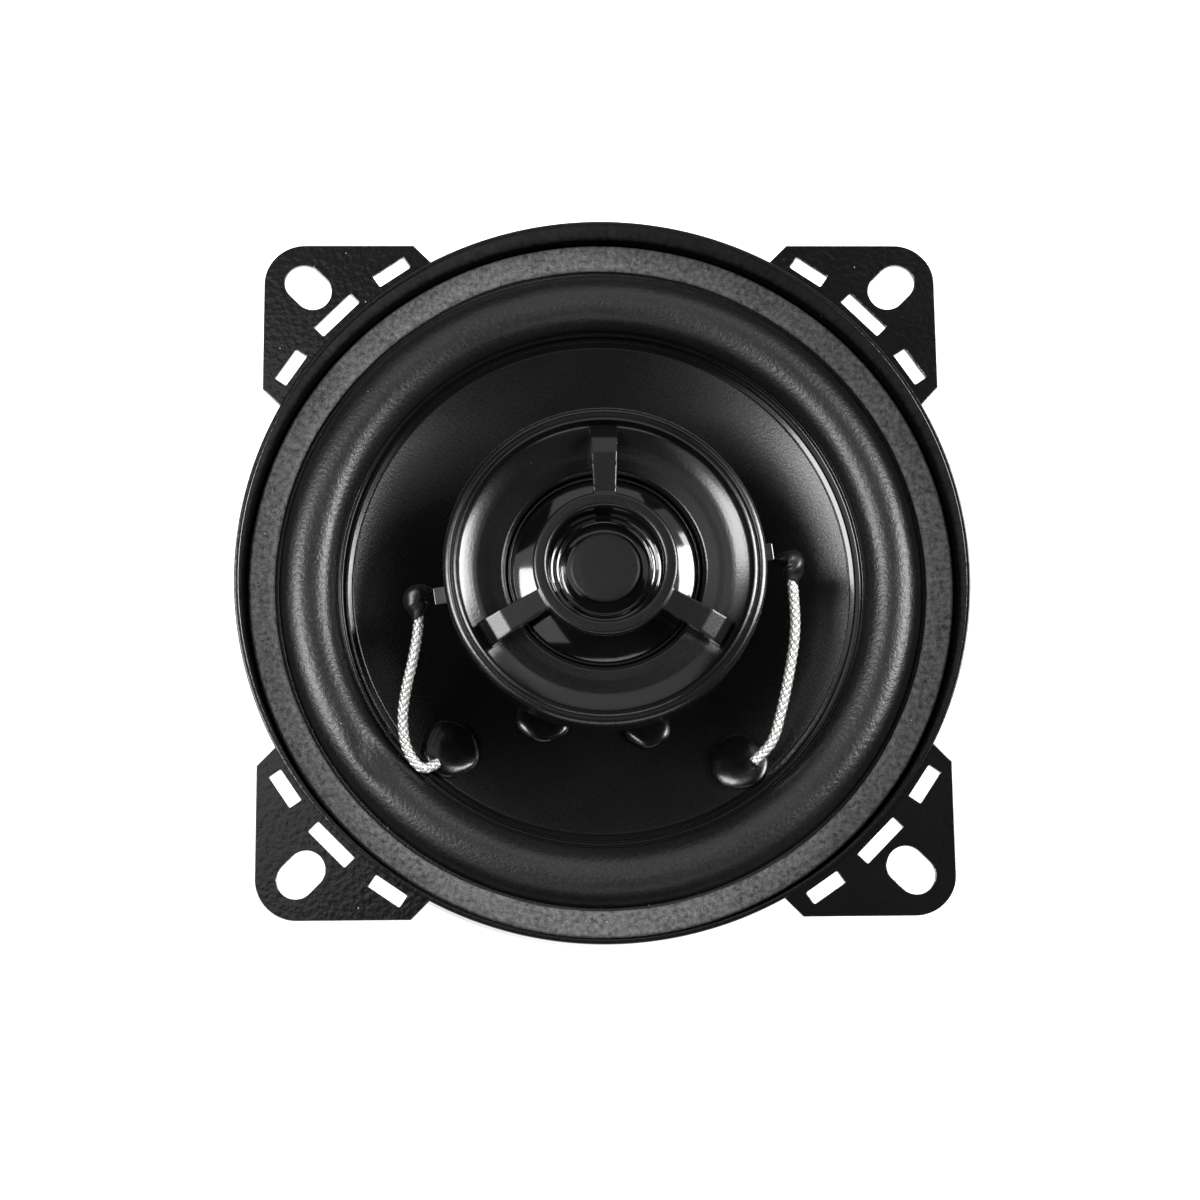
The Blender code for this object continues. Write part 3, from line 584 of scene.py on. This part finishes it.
for pole, hand, x, half_wide in (("positive", "left", -5.3, 2.4), ("negative", "right", 5.3, 1.5)):
    outline = [
        (x - 2.4, -41.0), (x - half_wide, -42.0), (x - half_wide, -48.4), (x - half_wide + 0.8, -49.2),
        (x + half_wide - 0.8, -49.2), (x + half_wide, -48.4), (x + half_wide, -42.0), (x + 2.4, -41.0),
        (x + 2.4, -35.3), (x - 2.4, -35.3),
    ]
    hole = arc((x, -46.0), 0.7, 0.0, 350.0, 24)
    blade = plate(f"blade_{pole}", [rounded(outline, 0.3), hole], 25.9, 26.7, 0.15)
    fit(blade, tinned_strip, "frame", "zinc_steel", f"terminal_{pole}")
    place = Matrix.Translation((x, -38.3, 0.0))
    rivet = turned(f"rivet_{hand}", [
        (0.0, 22.1), (1.8, 22.3), (1.8, 22.8), (1.1, 22.8), (1.1, 27.0), (1.8, 27.0), (1.8, 27.5),
        (1.1, 27.7), (0.7, 27.3), (0.0, 27.2),
    ], 0.15, 48, place)
    fit(rivet, rivet_brass, "frame", "brass", f"board_rivet_{hand}")


# ------------------------------------------------
# Spider, voice coil and former
# The spider is cotton cloth, dipped in amber resin and pressed into waves. The
# coil is enamelled copper on a film former, deep in the magnet's gap.
# ------------------------------------------------
def reweigh(piece, weight):
    """Works out how far each point of a blended piece would follow its second body; nothing is set from it.
    """
    co = np.empty(len(piece.data.vertices) * 3)
    piece.data.vertices.foreach_get("co", co)
    share = np.clip(weight(co.reshape(-1, 3) / MM), 0.0, 1.0)
    share = share * share * (3 - 2 * share)


def woven(name, dark, light, pitch, depth):
    """Plain weave on Object coordinates: two sets of bands, sin(2 pi x / p) and sin(2 pi y / p),
    whose product lifts warp and weft in turn, with noise for the resin."""
    waves_per_unit = 0.314
    resin = [grain(5.0, tone=0.5, sheen=0.2), grain(0.3, tone=0.4, depth=0.01)]
    look = finish(name, dark, light, 0.62, resin)
    nodes, links = look.node_tree.nodes, look.node_tree.links
    where = nodes.new("ShaderNodeTexCoord").outputs["Object"]
    waves = []
    for direction in ("X", "Y"):
        band = nodes.new("ShaderNodeTexWave")
        band.bands_direction = direction
        band.inputs["Scale"].default_value = 1.0 / (pitch * MM) * waves_per_unit
        band.inputs["Distortion"].default_value = 0.6
        links.new(where, band.inputs["Vector"])
        waves.append(band.outputs["Fac"])
    cross = nodes.new("ShaderNodeMath")
    cross.operation = "MULTIPLY"
    links.new(waves[0], cross.inputs[0])
    links.new(waves[1], cross.inputs[1])
    bump = nodes.new("ShaderNodeBump")
    bump.inputs["Distance"].default_value = depth * MM
    links.new(cross.outputs[0], bump.inputs["Height"])
    shader = nodes["Principled BSDF"]
    links.new(shader.inputs["Normal"].links[0].from_socket, bump.inputs["Normal"])
    links.new(bump.outputs[0], shader.inputs["Normal"])
    return look


amber_cloth = woven("amber_cloth", (0.30, 0.17, 0.045), (0.62, 0.43, 0.16), 0.45, 0.12)
spider_waves, wave_height = 4, 0.7
spider_r = np.linspace(14.4, 28.2, 97)
spider_wave = wave_height * np.sin(math.tau * spider_waves * (spider_r - 14.4) / 13.8)
spider_low = np.vstack([[(13.2, 24.1)], np.c_[spider_r, 24.1 + spider_wave], [(31.8, 24.1)]])
spider_line = np.vstack([spider_low, spider_low[::-1] + (0.0, 0.4)])
spider = turned("spider_cloth_disc", spider_line, 0.02)
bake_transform(spider)
reweigh(spider, lambda co: (29.0 - np.hypot(co[:, 0], co[:, 1])) / 15.0)
spider.data.materials.append(amber_cloth)
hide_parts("spider")

copper_winding = finish(
    "copper_winding", (0.36, 0.12, 0.05), (0.72, 0.34, 0.16), 0.32,
    [grain(0.2, depth=0.03, tone=0.6, stretch=(60.0, 60.0, 1.0)), grain(2.0, tone=0.4, sheen=0.15)],
    metal=1.0,
)
former_film = finish(
    "former_film", (0.22, 0.07, 0.01), (0.48, 0.2, 0.04), 0.28,
    [grain(3.0, tone=0.5, sheen=0.15), grain(0.4, depth=0.01)],
)
dress(copper_winding, "voice_coil", "tweeter_coil")
dress(former_film, "voice_coil_former")


# ------------------------------------------------
# Cone
# Injection moulded black polypropylene, about half a millimetre thick, slightly
# flared. Its skin is satin with a fine grain; a small smooth bevel runs round its
# edge, and outside it lies the flat that carries the surround.
# ------------------------------------------------
def cone_front_z(r):
    """Height of the cone's front: a straight rise times its own share to the power 1.2."""
    share = np.clip((r - 13.2) / (35.4 - 13.2), 0.0, None)
    return 26.9 + (35.2 - 26.9) * share**1.2


black_polypropylene = finish(
    "black_polypropylene", (0.001, 0.001, 0.0011), (0.003, 0.003, 0.0032), 0.28,
    [
        grain(12.0, tone=0.4, sheen=0.06),
        grain(0.36, depth=0.018, tone=0.3, sheen=0.08, detail=2.0),
        grain(0.14, depth=0.006, sheen=0.12),
    ],
    dust=(3.5, 0.08, 0.2),
    Specular_IOR_Level=0.5,
)
cone_r = np.linspace(13.2, 35.05, 60)
cone_edge = np.array([
    (35.17, 34.97), (35.3, 35.05), (35.92, 35.31), (36.07, 35.2), (36.3, 35.25), (37.1, 35.4),
])
cone_front = np.vstack([np.c_[cone_r, cone_front_z(cone_r)], cone_edge])
cone_back = cone_front[::-1] + (0.1, -0.45)
cone_back[-1] = (13.2, 26.45)
cone = turned("moulded_cone", np.vstack([cone_front, cone_back]), 0.1, 384)
fit(cone, black_polypropylene, "moving_cone", "black_polypropylene", "cone")
smooth_edge = finish(
    "smooth_edge", (0.001, 0.001, 0.0011), (0.003, 0.003, 0.0032), 0.13,
    [grain(6.0, tone=0.4, sheen=0.06), grain(0.5, depth=0.004, sheen=0.05)],
)


def second_finish(piece, look, low, high):
    """Gives the faces whose middle lies between two radii from the axis another finish."""
    centre = np.empty(len(piece.data.polygons) * 3)
    piece.data.polygons.foreach_get("center", centre)
    far = np.hypot(*centre.reshape(-1, 3).T[:2]) / MM
    which = np.zeros(len(far), np.int32)
    piece.data.polygons.foreach_get("material_index", which)
    piece.data.materials.append(look)
    which[(far > low) & (far < high)] = len(piece.data.materials) - 1
    piece.data.polygons.foreach_set("material_index", which)


second_finish(cone, smooth_edge, 35.15, 37.2)
dress(rivet_brass, "cone_eyelet_left", "cone_eyelet_right")


# ------------------------------------------------
# Surround
# Half roll of black rubber, glued to the cone's flat edge and the basket's
# landing, with a thin smooth lip at the cone. Its skin is satin and a little
# dusty, and it has a shallow dent beside the left lead.
# ------------------------------------------------
black_rubber = finish(
    "black_rubber", (0.002, 0.002, 0.0021), (0.008, 0.008, 0.0082), 0.36,
    [
        grain(10.0, tone=0.4, sheen=0.06),
        grain(0.55, depth=0.06, tone=0.5, sheen=0.12, detail=2.0),
        grain(0.25, depth=0.022, tone=0.3, sheen=0.12),
    ],
    dust=(2.8, 0.08, 0.25),
)
dusty_rubber = finish(
    "dusty_rubber", (0.001, 0.001, 0.0011), (0.004, 0.004, 0.0042), 0.3,
    [grain(4.0, tone=0.5, sheen=0.1), grain(0.3, depth=0.01, sheen=0.1)],
    dust=(0.75, 0.13, 0.16),
)


def roll(inner, outer, base, high, count):
    """Half ellipse from the outer foot to the inner foot: r = m + h cos a, z = base + high sin a."""
    a = np.linspace(0.0, math.pi, count)
    return np.c_[(inner + outer) / 2 + (outer - inner) / 2 * np.cos(a), base + high * np.sin(a)]


surround_line = rounded(np.vstack([
    [(49.75, 35.9)], roll(37.7, 44.9, 35.9, 3.2, 33),
    [(36.45, 35.75), (36.45, 36.1), (36.7, 36.2), (37.0, 36.15)],
    roll(37.2, 45.4, 36.4, 3.3, 41)[::-1], [(49.75, 36.4)],
]), 0.12)
turn = full_turn(384)
surround_r = np.broadcast_to(surround_line[:, 0], (len(turn), len(surround_line)))
on_roll = np.clip(1 - ((surround_r - 40.2) / 2.6) ** 2, 0.0, 1.0) ** 2
beside_lead = np.exp(-(((np.degrees(turn) - 218.0) / 4.5) ** 2))
wander = 0.05 * np.sin(3 * turn + 1.0) + 0.04 * np.sin(7 * turn + 2.5)
surround_z = surround_line[:, 1] + on_roll * (wander - 0.45 * beside_lead)
surround = skin("rubber_surround", round_axis(surround_r, turn, surround_z))
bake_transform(surround)
reweigh(surround, lambda co: (45.4 - np.hypot(co[:, 0], co[:, 1])) / 8.2)
surround.data.materials.append(black_rubber)
second_finish(surround, smooth_edge, 35.0, 37.18)
second_finish(surround, dusty_rubber, 45.3, 47.0)
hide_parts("surround")


# ------------------------------------------------
# Gasket
# Ring cut from pressed grey fibre, glued on the surround's flange. Its face is
# matt and uneven, with short pale fibres in it.
# ------------------------------------------------
grey_fibre = finish(
    "grey_fibre", (0.012, 0.012, 0.0125), (0.125, 0.125, 0.127), 0.9,
    [
        grain(0.7, depth=0.09, tone=1.5, detail=3.0),
        grain(0.25, depth=0.05, tone=0.9),
        grain(8.0, tone=0.3),
        *[
            grain(0.2, depth=0.04, tone=0.6, stretch=(7.0, 1.0, 1.0), turn=way, cut=(0.62, 0.72))
            for way in (20.0, 80.0, 140.0)
        ],
    ],
    dust=(1.7, 0.1, 0.3),
    Specular_IOR_Level=0.15,
)
gasket_line = rounded([
    (45.9, 36.8), (49.6, 36.8), (49.6, 37.7), (49.3, 38.0), (46.4, 37.8), (45.9, 37.4),
], 0.25)
turn = full_turn(720)
random = np.random.default_rng(4)
swell = np.zeros(turn.shape)
for waves in (5, 9, 17, 31, 53, 90):
    swell = swell + 0.05 / math.sqrt(waves) * np.sin(waves * turn + random.uniform(0, math.tau))
top = np.clip((gasket_line[:, 1] - 37.2) / 0.6, 0.0, 1.0)
gasket_r = gasket_line[:, 0] + 1.2 * swell * (1 - top)
gasket_z = gasket_line[:, 1] + 1.5 * swell * top
gasket = skin("fibre_gasket", round_axis(gasket_r, turn, gasket_z))
fit(gasket, grey_fibre, "frame", "grey_fibre", "gasket")


# ------------------------------------------------
# Glue on the cone
# Black rubbery cement: a pad over each lead's eyelet, and one drop on each side
# where the coil's wire ends. It was laid by hand, so each drop is uneven.
# ------------------------------------------------
black_glue = finish(
    "black_glue", (0.001, 0.001, 0.001), (0.003, 0.003, 0.003), 0.22,
    [grain(2.2, depth=0.09, tone=0.4, sheen=0.14, detail=1.0), grain(0.4, depth=0.01, sheen=0.08)],
    Specular_IOR_Level=0.45,
)


def on_cone(r, degrees):
    """Place on the cone's front, Z along its normal and X outward."""
    slope = math.atan2(cone_front_z(r + 0.5) - cone_front_z(r - 0.5), 1.0)
    turn = Matrix.Rotation(math.radians(degrees), 4, "Z")
    return turn @ Matrix.Translation((r, 0.0, float(cone_front_z(r)))) @ Matrix.Rotation(-slope, 4, "Y")


def glue_drop(name, size, high, place, seed, longer=1.0):
    """Drop of glue in polar form: at the share s of its edge radius and the angle a its height is
    high (1 - s^4)^0.6 plus low waves, and the edge radius swings by a few sines of a."""
    random = np.random.default_rng(seed)
    s = np.sin(np.linspace(0.0, 1.0, 22) * math.pi / 2)[:, None]
    a = np.linspace(0.0, math.tau, 72, endpoint=False)[None]
    edge = 1.0 + sum(0.09 / k * np.sin(k * a + random.uniform(0, 6.3)) for k in (2, 3, 5))
    lift = (1 - s**4) ** 0.6
    hump = 1 + sum(0.12 * np.sin(k * a + random.uniform(0, 6.3)) * s**k for k in (1, 2, 3))
    x, y = s * edge * np.cos(a) * size * longer, s * edge * np.sin(a) * size
    clear = 0.3
    upper = np.stack([x, y, clear + high * lift * hump], -1)
    lower = np.stack([x * 0.97, y * 0.97, np.full(x.shape, clear)], -1)[::-1]
    return skin(name, moved(np.concatenate([upper, lower]), place), wrap_rows=False)


for hand, pad_deg, drop_deg, drop_r, size, seed in (
    ("left", -133.2, -115.5, 19.8, 3.9, 3), ("right", -52.6, -71.5, 20.6, 3.2, 8),
):
    pad = glue_drop(f"glue_pad_{hand}", 4.3, 0.95, on_cone(31.4, pad_deg), seed)
    fit(pad, black_glue, "moving_cone", "black_glue", f"lead_pad_{hand}")
    drop = glue_drop(f"glue_drop_{hand}", size, 0.85, on_cone(drop_r, drop_deg), seed + 1)
    fit(drop, black_glue, "moving_cone", "black_glue", f"coil_glue_{hand}")


# ------------------------------------------------
# Tweeter post, screw and back cover
# A moulded post on the pole, and a shallow moulded cup behind the tweeter. One
# screw from behind goes through yoke, post and cup into a nut.
# ------------------------------------------------
black_plastic = finish(
    "black_plastic", (0.0018, 0.0018, 0.0019), (0.005, 0.005, 0.0053), 0.2,
    [
        grain(7.0, tone=0.4, sheen=0.05),
        grain(0.3, depth=0.012, tone=0.3, sheen=0.08, detail=2.0),
        grain(0.14, depth=0.003, sheen=0.08),
    ],
    dust=(2.6, 0.07, 0.2),
    Specular_IOR_Level=0.5,
)
post = turned("moulded_post", [
    (2.1, 19.9), (7.4, 19.9), (7.4, 21.0), (4.4, 22.8), (4.4, 33.1), (2.1, 33.1),
], 0.3, 96)
fit(post, black_plastic, "frame", "black_plastic", "tweeter_post")
screw = turned("round_head_screw", [
    (0.0, 1.8), (1.3, 1.8), (1.5, 0.6), (3.2, 0.5), (3.8, 1.1), (3.9, 3.1), (1.75, 3.1), (1.75, 37.1),
    (1.35, 37.5), (0.0, 37.5),
], 0.2, 64)
fit(screw, zinc_plate, "frame", "zinc_steel", "post_screw")
back_cover = turned("moulded_back_cover", [
    (2.1, 33.4), (7.4, 33.4), (8.4, 33.9), (21.0, 42.4), (21.6, 43.2), (21.6, 44.0), (20.5, 44.0),
    (20.4, 43.4), (7.8, 34.8), (7.4, 34.5), (2.1, 34.5),
], 0.3)
fit(back_cover, black_plastic, "frame", "black_plastic", "tweeter_back_cover")
dress(zinc_plate, "post_nut")


# ------------------------------------------------
# Tweeter capsule
# Steel cup, magnet and pole cap in a moulded carrier. The diaphragm is black
# polished film with a broad outer roll and a double bead; a felt cap sits on it.
# ------------------------------------------------
dress(zinc_plate, "tweeter_cup", "tweeter_magnet", "tweeter_pole_cap")
dress(black_plastic, "tweeter_carrier")
holding_ring = turned("holding_ring", [(12.9, 45.7), (13.25, 45.7), (13.25, 46.4), (12.9, 46.4)], 0.12, 192)
fit(holding_ring, black_plastic, "frame", "black_plastic", "tweeter_retaining_ring")
polished_film = finish(
    "polished_film", (0.001, 0.001, 0.001), (0.003, 0.003, 0.003), 0.08,
    [grain(3.0, depth=0.02, sheen=0.05, detail=1.0), grain(0.3, depth=0.0015, tone=0.3, sheen=0.05)],
    Specular_IOR_Level=0.65,
)
film_r = np.r_[np.linspace(12.7, 7.7, 80), np.linspace(7.65, 0.0, 100)]
beads = np.array([
    (0.0, 48.1), (4.6, 48.1), (5.2, 48.02), (5.9, 47.86), (6.3, 47.74), (6.6, 47.97), (6.95, 47.74),
    (7.2, 47.8), (7.4, 47.97), (7.62, 47.73),
])
# From the outer edge in to 7.7 mm the film rises on z = 47.75 - 0.0454 (r - 7)^2 - 0.00006 (r - 7)^4,
# then come two small beads with a groove between them, and the flat that carries the cap.
out_of_bead = film_r - 7.0
film_z = np.where(
    film_r > 7.62,
    47.75 - 0.0454 * out_of_bead**2 - 0.00006 * out_of_bead**4,
    np.interp(film_r, beads[:, 0], beads[:, 1]),
)
for _ in range(3):
    film_z[1:-1] = (film_z[:-2] + 2 * film_z[1:-1] + film_z[2:]) / 4
film_line = np.vstack([np.c_[film_r, film_z], np.c_[film_r, film_z - 0.25][::-1]])
film = turned("film_diaphragm", film_line, 0.01, 320)
fit(film, polished_film, "moving_dome", "tweeter_film", "tweeter_diaphragm")
dark_felt = finish(
    "dark_felt", (0.0015, 0.0015, 0.0016), (0.005, 0.005, 0.0053), 0.4,
    [grain(0.14, depth=0.02, tone=0.6, sheen=0.2), grain(1.2, tone=0.4, depth=0.03)],
    Specular_IOR_Level=0.22,
)
cap = turned("dome_cap", [
    (0.0, 48.4), (4.5, 48.35), (4.8, 48.35), (4.85, 48.6), (4.5, 48.75), (3.4, 48.84), (2.0, 48.88),
    (0.0, 48.9),
], 0.22, 128)
fit(cap, dark_felt, "moving_dome", "dark_felt", "tweeter_dome_cap")
blue_sleeve = finish(
    "blue_sleeve", (0.01, 0.02, 0.07), (0.03, 0.06, 0.16), 0.3,
    [grain(2.0, tone=0.5, sheen=0.1), grain(0.3, depth=0.01)],
)
dress(blue_sleeve, "crossover_capacitor")
dress(tinned_strip, "capacitor_wire_in", "capacitor_wire_out", "tweeter_return_wire")


# ------------------------------------------------
# Tweeter housing
# Black moulding: outer wall with a double bead, a step and a shallow dish down
# to the opening. A solder tab comes out on each side under black cement.
# ------------------------------------------------
def bead(outer_r, low_z, radius, start_deg, end_deg):
    """Low bead that rises inward from its outer foot as its slope a falls from the first angle to the
    second: r = outer foot - R (sin a0 - sin a), z = foot + R (cos a - cos a0)."""
    a = np.radians(np.linspace(start_deg, end_deg, 9))
    rise = radius * (np.cos(a) - np.cos(a[0]))
    return np.c_[outer_r - radius * (np.sin(a[0]) - np.sin(a)), low_z + rise]


housing = turned("moulded_housing", np.vstack([
    [(22.0, 44.3), (22.05, 50.3)], bead(22.0, 50.42, 1.3, 46.0, 11.0),
    [(21.28, 50.7), (21.22, 50.38), (20.84, 50.38)], bead(20.8, 50.42, 1.05, 42.0, 8.0),
    [
        (20.16, 50.5), (20.12, 49.8), (20.06, 49.25), (19.93, 48.95), (19.7, 48.79), (19.2, 48.54),
        (18.6, 48.3), (18.0, 48.09), (17.4, 47.93), (16.5, 47.8), (15.6, 47.72), (14.0, 47.45),
        (13.5, 47.0), (13.5, 44.9), (14.6, 44.9), (14.6, 46.4), (18.8, 46.9), (20.4, 47.6),
        (20.8, 47.2), (20.8, 44.3),
    ],
]), 0.2, 384)
fit(housing, black_plastic, "frame", "black_plastic", "tweeter_housing")


def route(points, count):
    """Catmull-Rom curve through the points, as whole arrays: for the share t between B and C it is
    (2B + (C - A) t + (2A - 5B + 4C - D) t^2 + (3B - A - 3C + D) t^3) / 2."""
    knots = np.asarray(points, float)
    knots = np.vstack([2 * knots[0] - knots[1], knots, 2 * knots[-1] - knots[-2]])
    s = np.linspace(0.0, len(points) - 1.0, count)
    i = np.minimum(s.astype(int), len(points) - 2)
    t = (s - i)[:, None]
    a, b, c, d = knots[i], knots[i + 1], knots[i + 2], knots[i + 3]
    return 0.5 * (2 * b + (c - a) * t + (2 * a - 5 * b + 4 * c - d) * t**2 + (3 * b - a - 3 * c + d) * t**3)


def unit(vectors):
    """Vectors of length one."""
    return vectors / np.maximum(np.linalg.norm(vectors, axis=-1, keepdims=True), 1e-12)


def swept(name, line, radii, sides=24, uneven=0.0, seed=0):
    """Round section carried along a line: at each point the section's centre is the line and its
    radius follows the list, with a few low waves where it is uneven."""
    ahead = unit(np.gradient(line, axis=0))
    across = unit(np.cross(ahead, (0.0, 0.0, 1.0)))
    over = np.cross(across, ahead)
    a = np.linspace(0.0, math.tau, sides, endpoint=False)[None, :, None]
    random = np.random.default_rng(seed)
    along = np.linspace(0.0, 1.0, len(line))[:, None, None]
    bulge = 1 + uneven * sum(np.sin(k * a + 9 * along * k + random.uniform(0, 6.3)) for k in (1, 2, 3))
    r = np.asarray(radii, float)[:, None, None] * bulge
    grid = line[:, None] + r * (np.cos(a) * across[:, None] + np.sin(a) * over[:, None])
    return skin(name, grid, wrap_rows=False)


# The solder tabs' tin is painted a very dark grey: painted shade, as if the tabs lay shaded under the black
# cement.
shade_painted_tin = finish(
    "shade_painted_tin", (0.05, 0.05, 0.05), (0.16, 0.155, 0.15), 0.3,
    [grain(1.5, tone=0.6, sheen=0.15), grain(0.2, depth=0.005, tone=0.3)], metal=1.0,
)
black_cement = finish(
    "black_cement", (0.0015, 0.0015, 0.0015), (0.005, 0.005, 0.005), 0.38,
    [grain(1.6, depth=0.06, tone=0.4, sheen=0.12, detail=1.0), grain(0.3, depth=0.012, sheen=0.1)],
)
leads = {
    "left": [
        (-25.5, -5.0, 44.6), (-25.6, -8.0, 44.6), (-26.3, -11.8, 43.6), (-27.3, -15.8, 41.9),
        (-27.8, -19.5, 40.1), (-27.3, -23.3, 38.4), (-25.3, -25.9, 37.3), (-22.9, -25.1, 36.5),
    ],
    "right": [
        (25.9, -0.5, 44.6), (26.2, -3.2, 44.4), (26.4, -8.0, 43.0), (25.7, -13.4, 41.1),
        (24.6, -18.8, 38.9), (23.4, -22.6, 37.5), (20.8, -25.4, 36.5),
    ],
}
for hand, degrees, drop_deg, seed in (("left", 188.0, 187.0, 5), ("right", 7.0, 3.2, 6)):
    tab = plate(f"solder_tab_{hand}", [box_loop(18.6, 23.6, -1.2, 1.2, 0.2)], 44.6, 45.1, 0.1)
    tab.data.transform(Matrix.Rotation(math.radians(degrees), 4, "Z"))
    fit(tab, shade_painted_tin, "frame", "zinc_steel", f"tweeter_tab_{hand}")
    # The cement runs from the tab's end out to a thick blob and down over the lead's first turn. Its
    # radius is 1.3 exp(-((s - 0.4) / 0.24)^2) + 0.55 mm, at most 1.6 mm, and closes at both ends.
    out_x, out_y = math.cos(math.radians(drop_deg)), math.sin(math.radians(drop_deg))
    start = np.array([23.5 * out_x, 23.5 * out_y + 0.6, 44.5])
    middle = np.array([26.0 * out_x, 26.0 * out_y, 44.7])
    first = np.array(leads[hand][1])
    line = route([start, middle, first * 0.55 + middle * 0.45, first], 40)
    share = np.linspace(0.0, 1.0, 40)
    radii = np.minimum(1.3 * np.exp(-(((share - 0.4) / 0.24) ** 2)) + 0.55, 1.6)
    radii = radii * np.sqrt(np.clip(share / 0.12, 0, 1)) * np.sqrt(np.clip((1 - share) / 0.04, 0, 1))
    blob = swept(f"tab_cement_{hand}", line, radii, 32, 0.05, seed)
    fit(blob, black_cement, "frame", "black_glue", f"tab_glue_{hand}")


# ------------------------------------------------
# Braided leads
# Tinsel wire: four strands wind each way round a cotton core, each over one and
# under the next. The front pair hangs from the tabs to the cone's glue pads, the
# rear pair from the terminals to the cone's eyelets, slack enough for its travel.
# ------------------------------------------------
tinned_braid = finish(
    "tinned_braid", (0.42, 0.42, 0.41), (0.90, 0.89, 0.86), 0.36,
    [grain(0.5, tone=0.9, sheen=0.2), grain(0.08, depth=0.02, tone=0.3)], metal=0.75,
)


def braid(name, line, radius, pitch, wire, carriers=4):
    """Round braid on a line. At the length s a strand stands at the angle +-2 pi (s / pitch + k / n)
    and at the distance R +- a cos(2 pi n s / pitch), so that the two sets pass over and under each
    other. Each strand is a flat oval, drawn in to a point at both ends."""
    steps = np.linalg.norm(np.diff(line, axis=0), axis=1)
    s = np.r_[0.0, np.cumsum(steps)]
    ahead = unit(np.gradient(line, axis=0))
    across = unit(np.cross(ahead, (0.0, 0.0, 1.0)))
    over = np.cross(across, ahead)
    u = s / pitch
    way = np.repeat([1.0, -1.0], carriers)[:, None]
    order = np.tile(np.arange(carriers), 2)[:, None] / carriers
    phi = math.tau * (way * u + order)[..., None]
    out = np.cos(phi) * across + np.sin(phi) * over
    swing = 0.11 * radius * way * np.cos(math.tau * carriers * u)
    centre = line + (radius - 0.75 * wire + swing)[..., None] * out
    along = unit(np.gradient(centre, axis=1))
    beside = unit(np.cross(along, out))
    a = np.linspace(0.0, math.tau, 8, endpoint=False)[None, None, :, None]
    draw_in = np.clip(np.minimum(s, s[-1] - s) / 0.3, 0.0, 1.0)[None, :, None, None]
    oval = 0.62 * wire * np.cos(a) * out[:, :, None] + 1.25 * wire * np.sin(a) * beside[:, :, None]
    grid = centre[:, :, None] + oval * draw_in
    return skin(name, grid, wrap_rows=False)


def follow(piece, line):
    """Works out for each point of a lead how far along the lead it lies; nothing is set from it."""
    places = line[::4]

    def share(co):
        nearest = np.argmin(((co[:, None] - places[None]) ** 2).sum(-1), axis=1)
        return nearest / (len(places) - 1.0)

    reweigh(piece, share)


def lay_lead(side, hand, points, count, radius, pitch, wire, core_radius):
    """Braid on its cotton core."""
    name = f"{side}_braid_{hand}"
    line = route(points, count)
    strands = braid(name, line, radius, pitch, wire=wire)
    core = swept("core", line, np.r_[0.0, np.full(count - 2, core_radius), 0.0], 10)
    lead = joined(name, strands, core)
    lead.data.shade_smooth()
    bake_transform(lead)
    follow(lead, line)
    lead.data.materials.append(tinned_braid)
    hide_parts(f"{side}_lead_{hand}")


for hand, points in leads.items():
    lay_lead("front", hand, points, 240, 0.72, 4.4, 0.27, 0.5)
rear_leads = {
    "left": [
        (-5.3, -34.8, 27.3), (-6.9, -33.4, 28.6), (-10.4, -30.9, 29.9), (-15.0, -28.0, 30.4),
        (-20.3, -24.7, 31.0),
    ],
    "right": [
        (5.3, -34.8, 27.3), (6.8, -33.5, 28.6), (9.6, -31.4, 29.8), (13.6, -29.2, 30.3),
        (18.4, -26.4, 31.0),
    ],
}
for hand, points in rear_leads.items():
    lay_lead("rear", hand, points, 160, 0.62, 4.0, 0.23, 0.42)


# ------------------------------------------------
# Guard
# Matt dark grey moulding that shields the dome: a plain ring on three tapered
# spokes, whose feet stand on the housing's dish.
# ------------------------------------------------
guard_grey = finish(
    "guard_grey", (0.002, 0.002, 0.0022), (0.0045, 0.0045, 0.005), 0.26,
    [
        grain(6.0, tone=0.4, sheen=0.05),
        grain(0.2, depth=0.006, tone=0.4, sheen=0.1),
        grain(0.08, depth=0.002, sheen=0.1),
    ],
)


def spoke(turn):
    """Box section carried outward: top and underside heights and the half width are given along
    the radius, and the section's four corners follow them. Each end closes on its middle point."""
    r = np.linspace(8.9, 18.9, 60)
    top = np.interp(r, [8.9, 15.6, 17.8, 18.9], [51.55, 51.3, 50.6, 49.6])
    under = np.interp(r, [8.9, 15.2, 16.6, 17.3, 18.9], [50.4, 50.1, 49.7, 47.95, 48.42])
    half = 1.5 + 0.4 * (r - 8.9) / 10.0
    grid = np.stack([
        np.stack([r, -half, under], -1), np.stack([r, half, under], -1),
        np.stack([r, half, top], -1), np.stack([r, -half, top], -1),
    ], 1)
    inner_end, outer_end = (grid[k][None].mean(1, keepdims=True).repeat(4, 1) for k in (0, -1))
    grid = np.concatenate([inner_end, grid, outer_end])
    return skin("spoke", moved(grid, Matrix.Rotation(math.radians(turn), 4, "Z")), wrap_rows=False)


guard_ring = turned("guard_ring", [
    (7.9, 50.6), (8.1, 50.3), (9.7, 50.3), (9.9, 50.6), (9.9, 51.4), (9.6, 51.7), (8.2, 51.7), (7.9, 51.4),
], 0.15, 192)
guard = joined("ring_guard", guard_ring, *[spoke(90.0 + 120.0 * k) for k in range(3)])
fuse = guard.modifiers.new("fuse", "REMESH")
fuse.mode = "VOXEL"
fuse.voxel_size = 0.13 * MM
ease = guard.modifiers.new("ease", "SMOOTH")
ease.factor = 0.5
ease.iterations = 5
bpy.context.view_layer.update()
guard = finished_mesh("ring_guard", guard)
guard.data.shade_smooth()
fit(guard, guard_grey, "frame", "guard_plastic", "tweeter_guard")


bpy.context.view_layer.update()
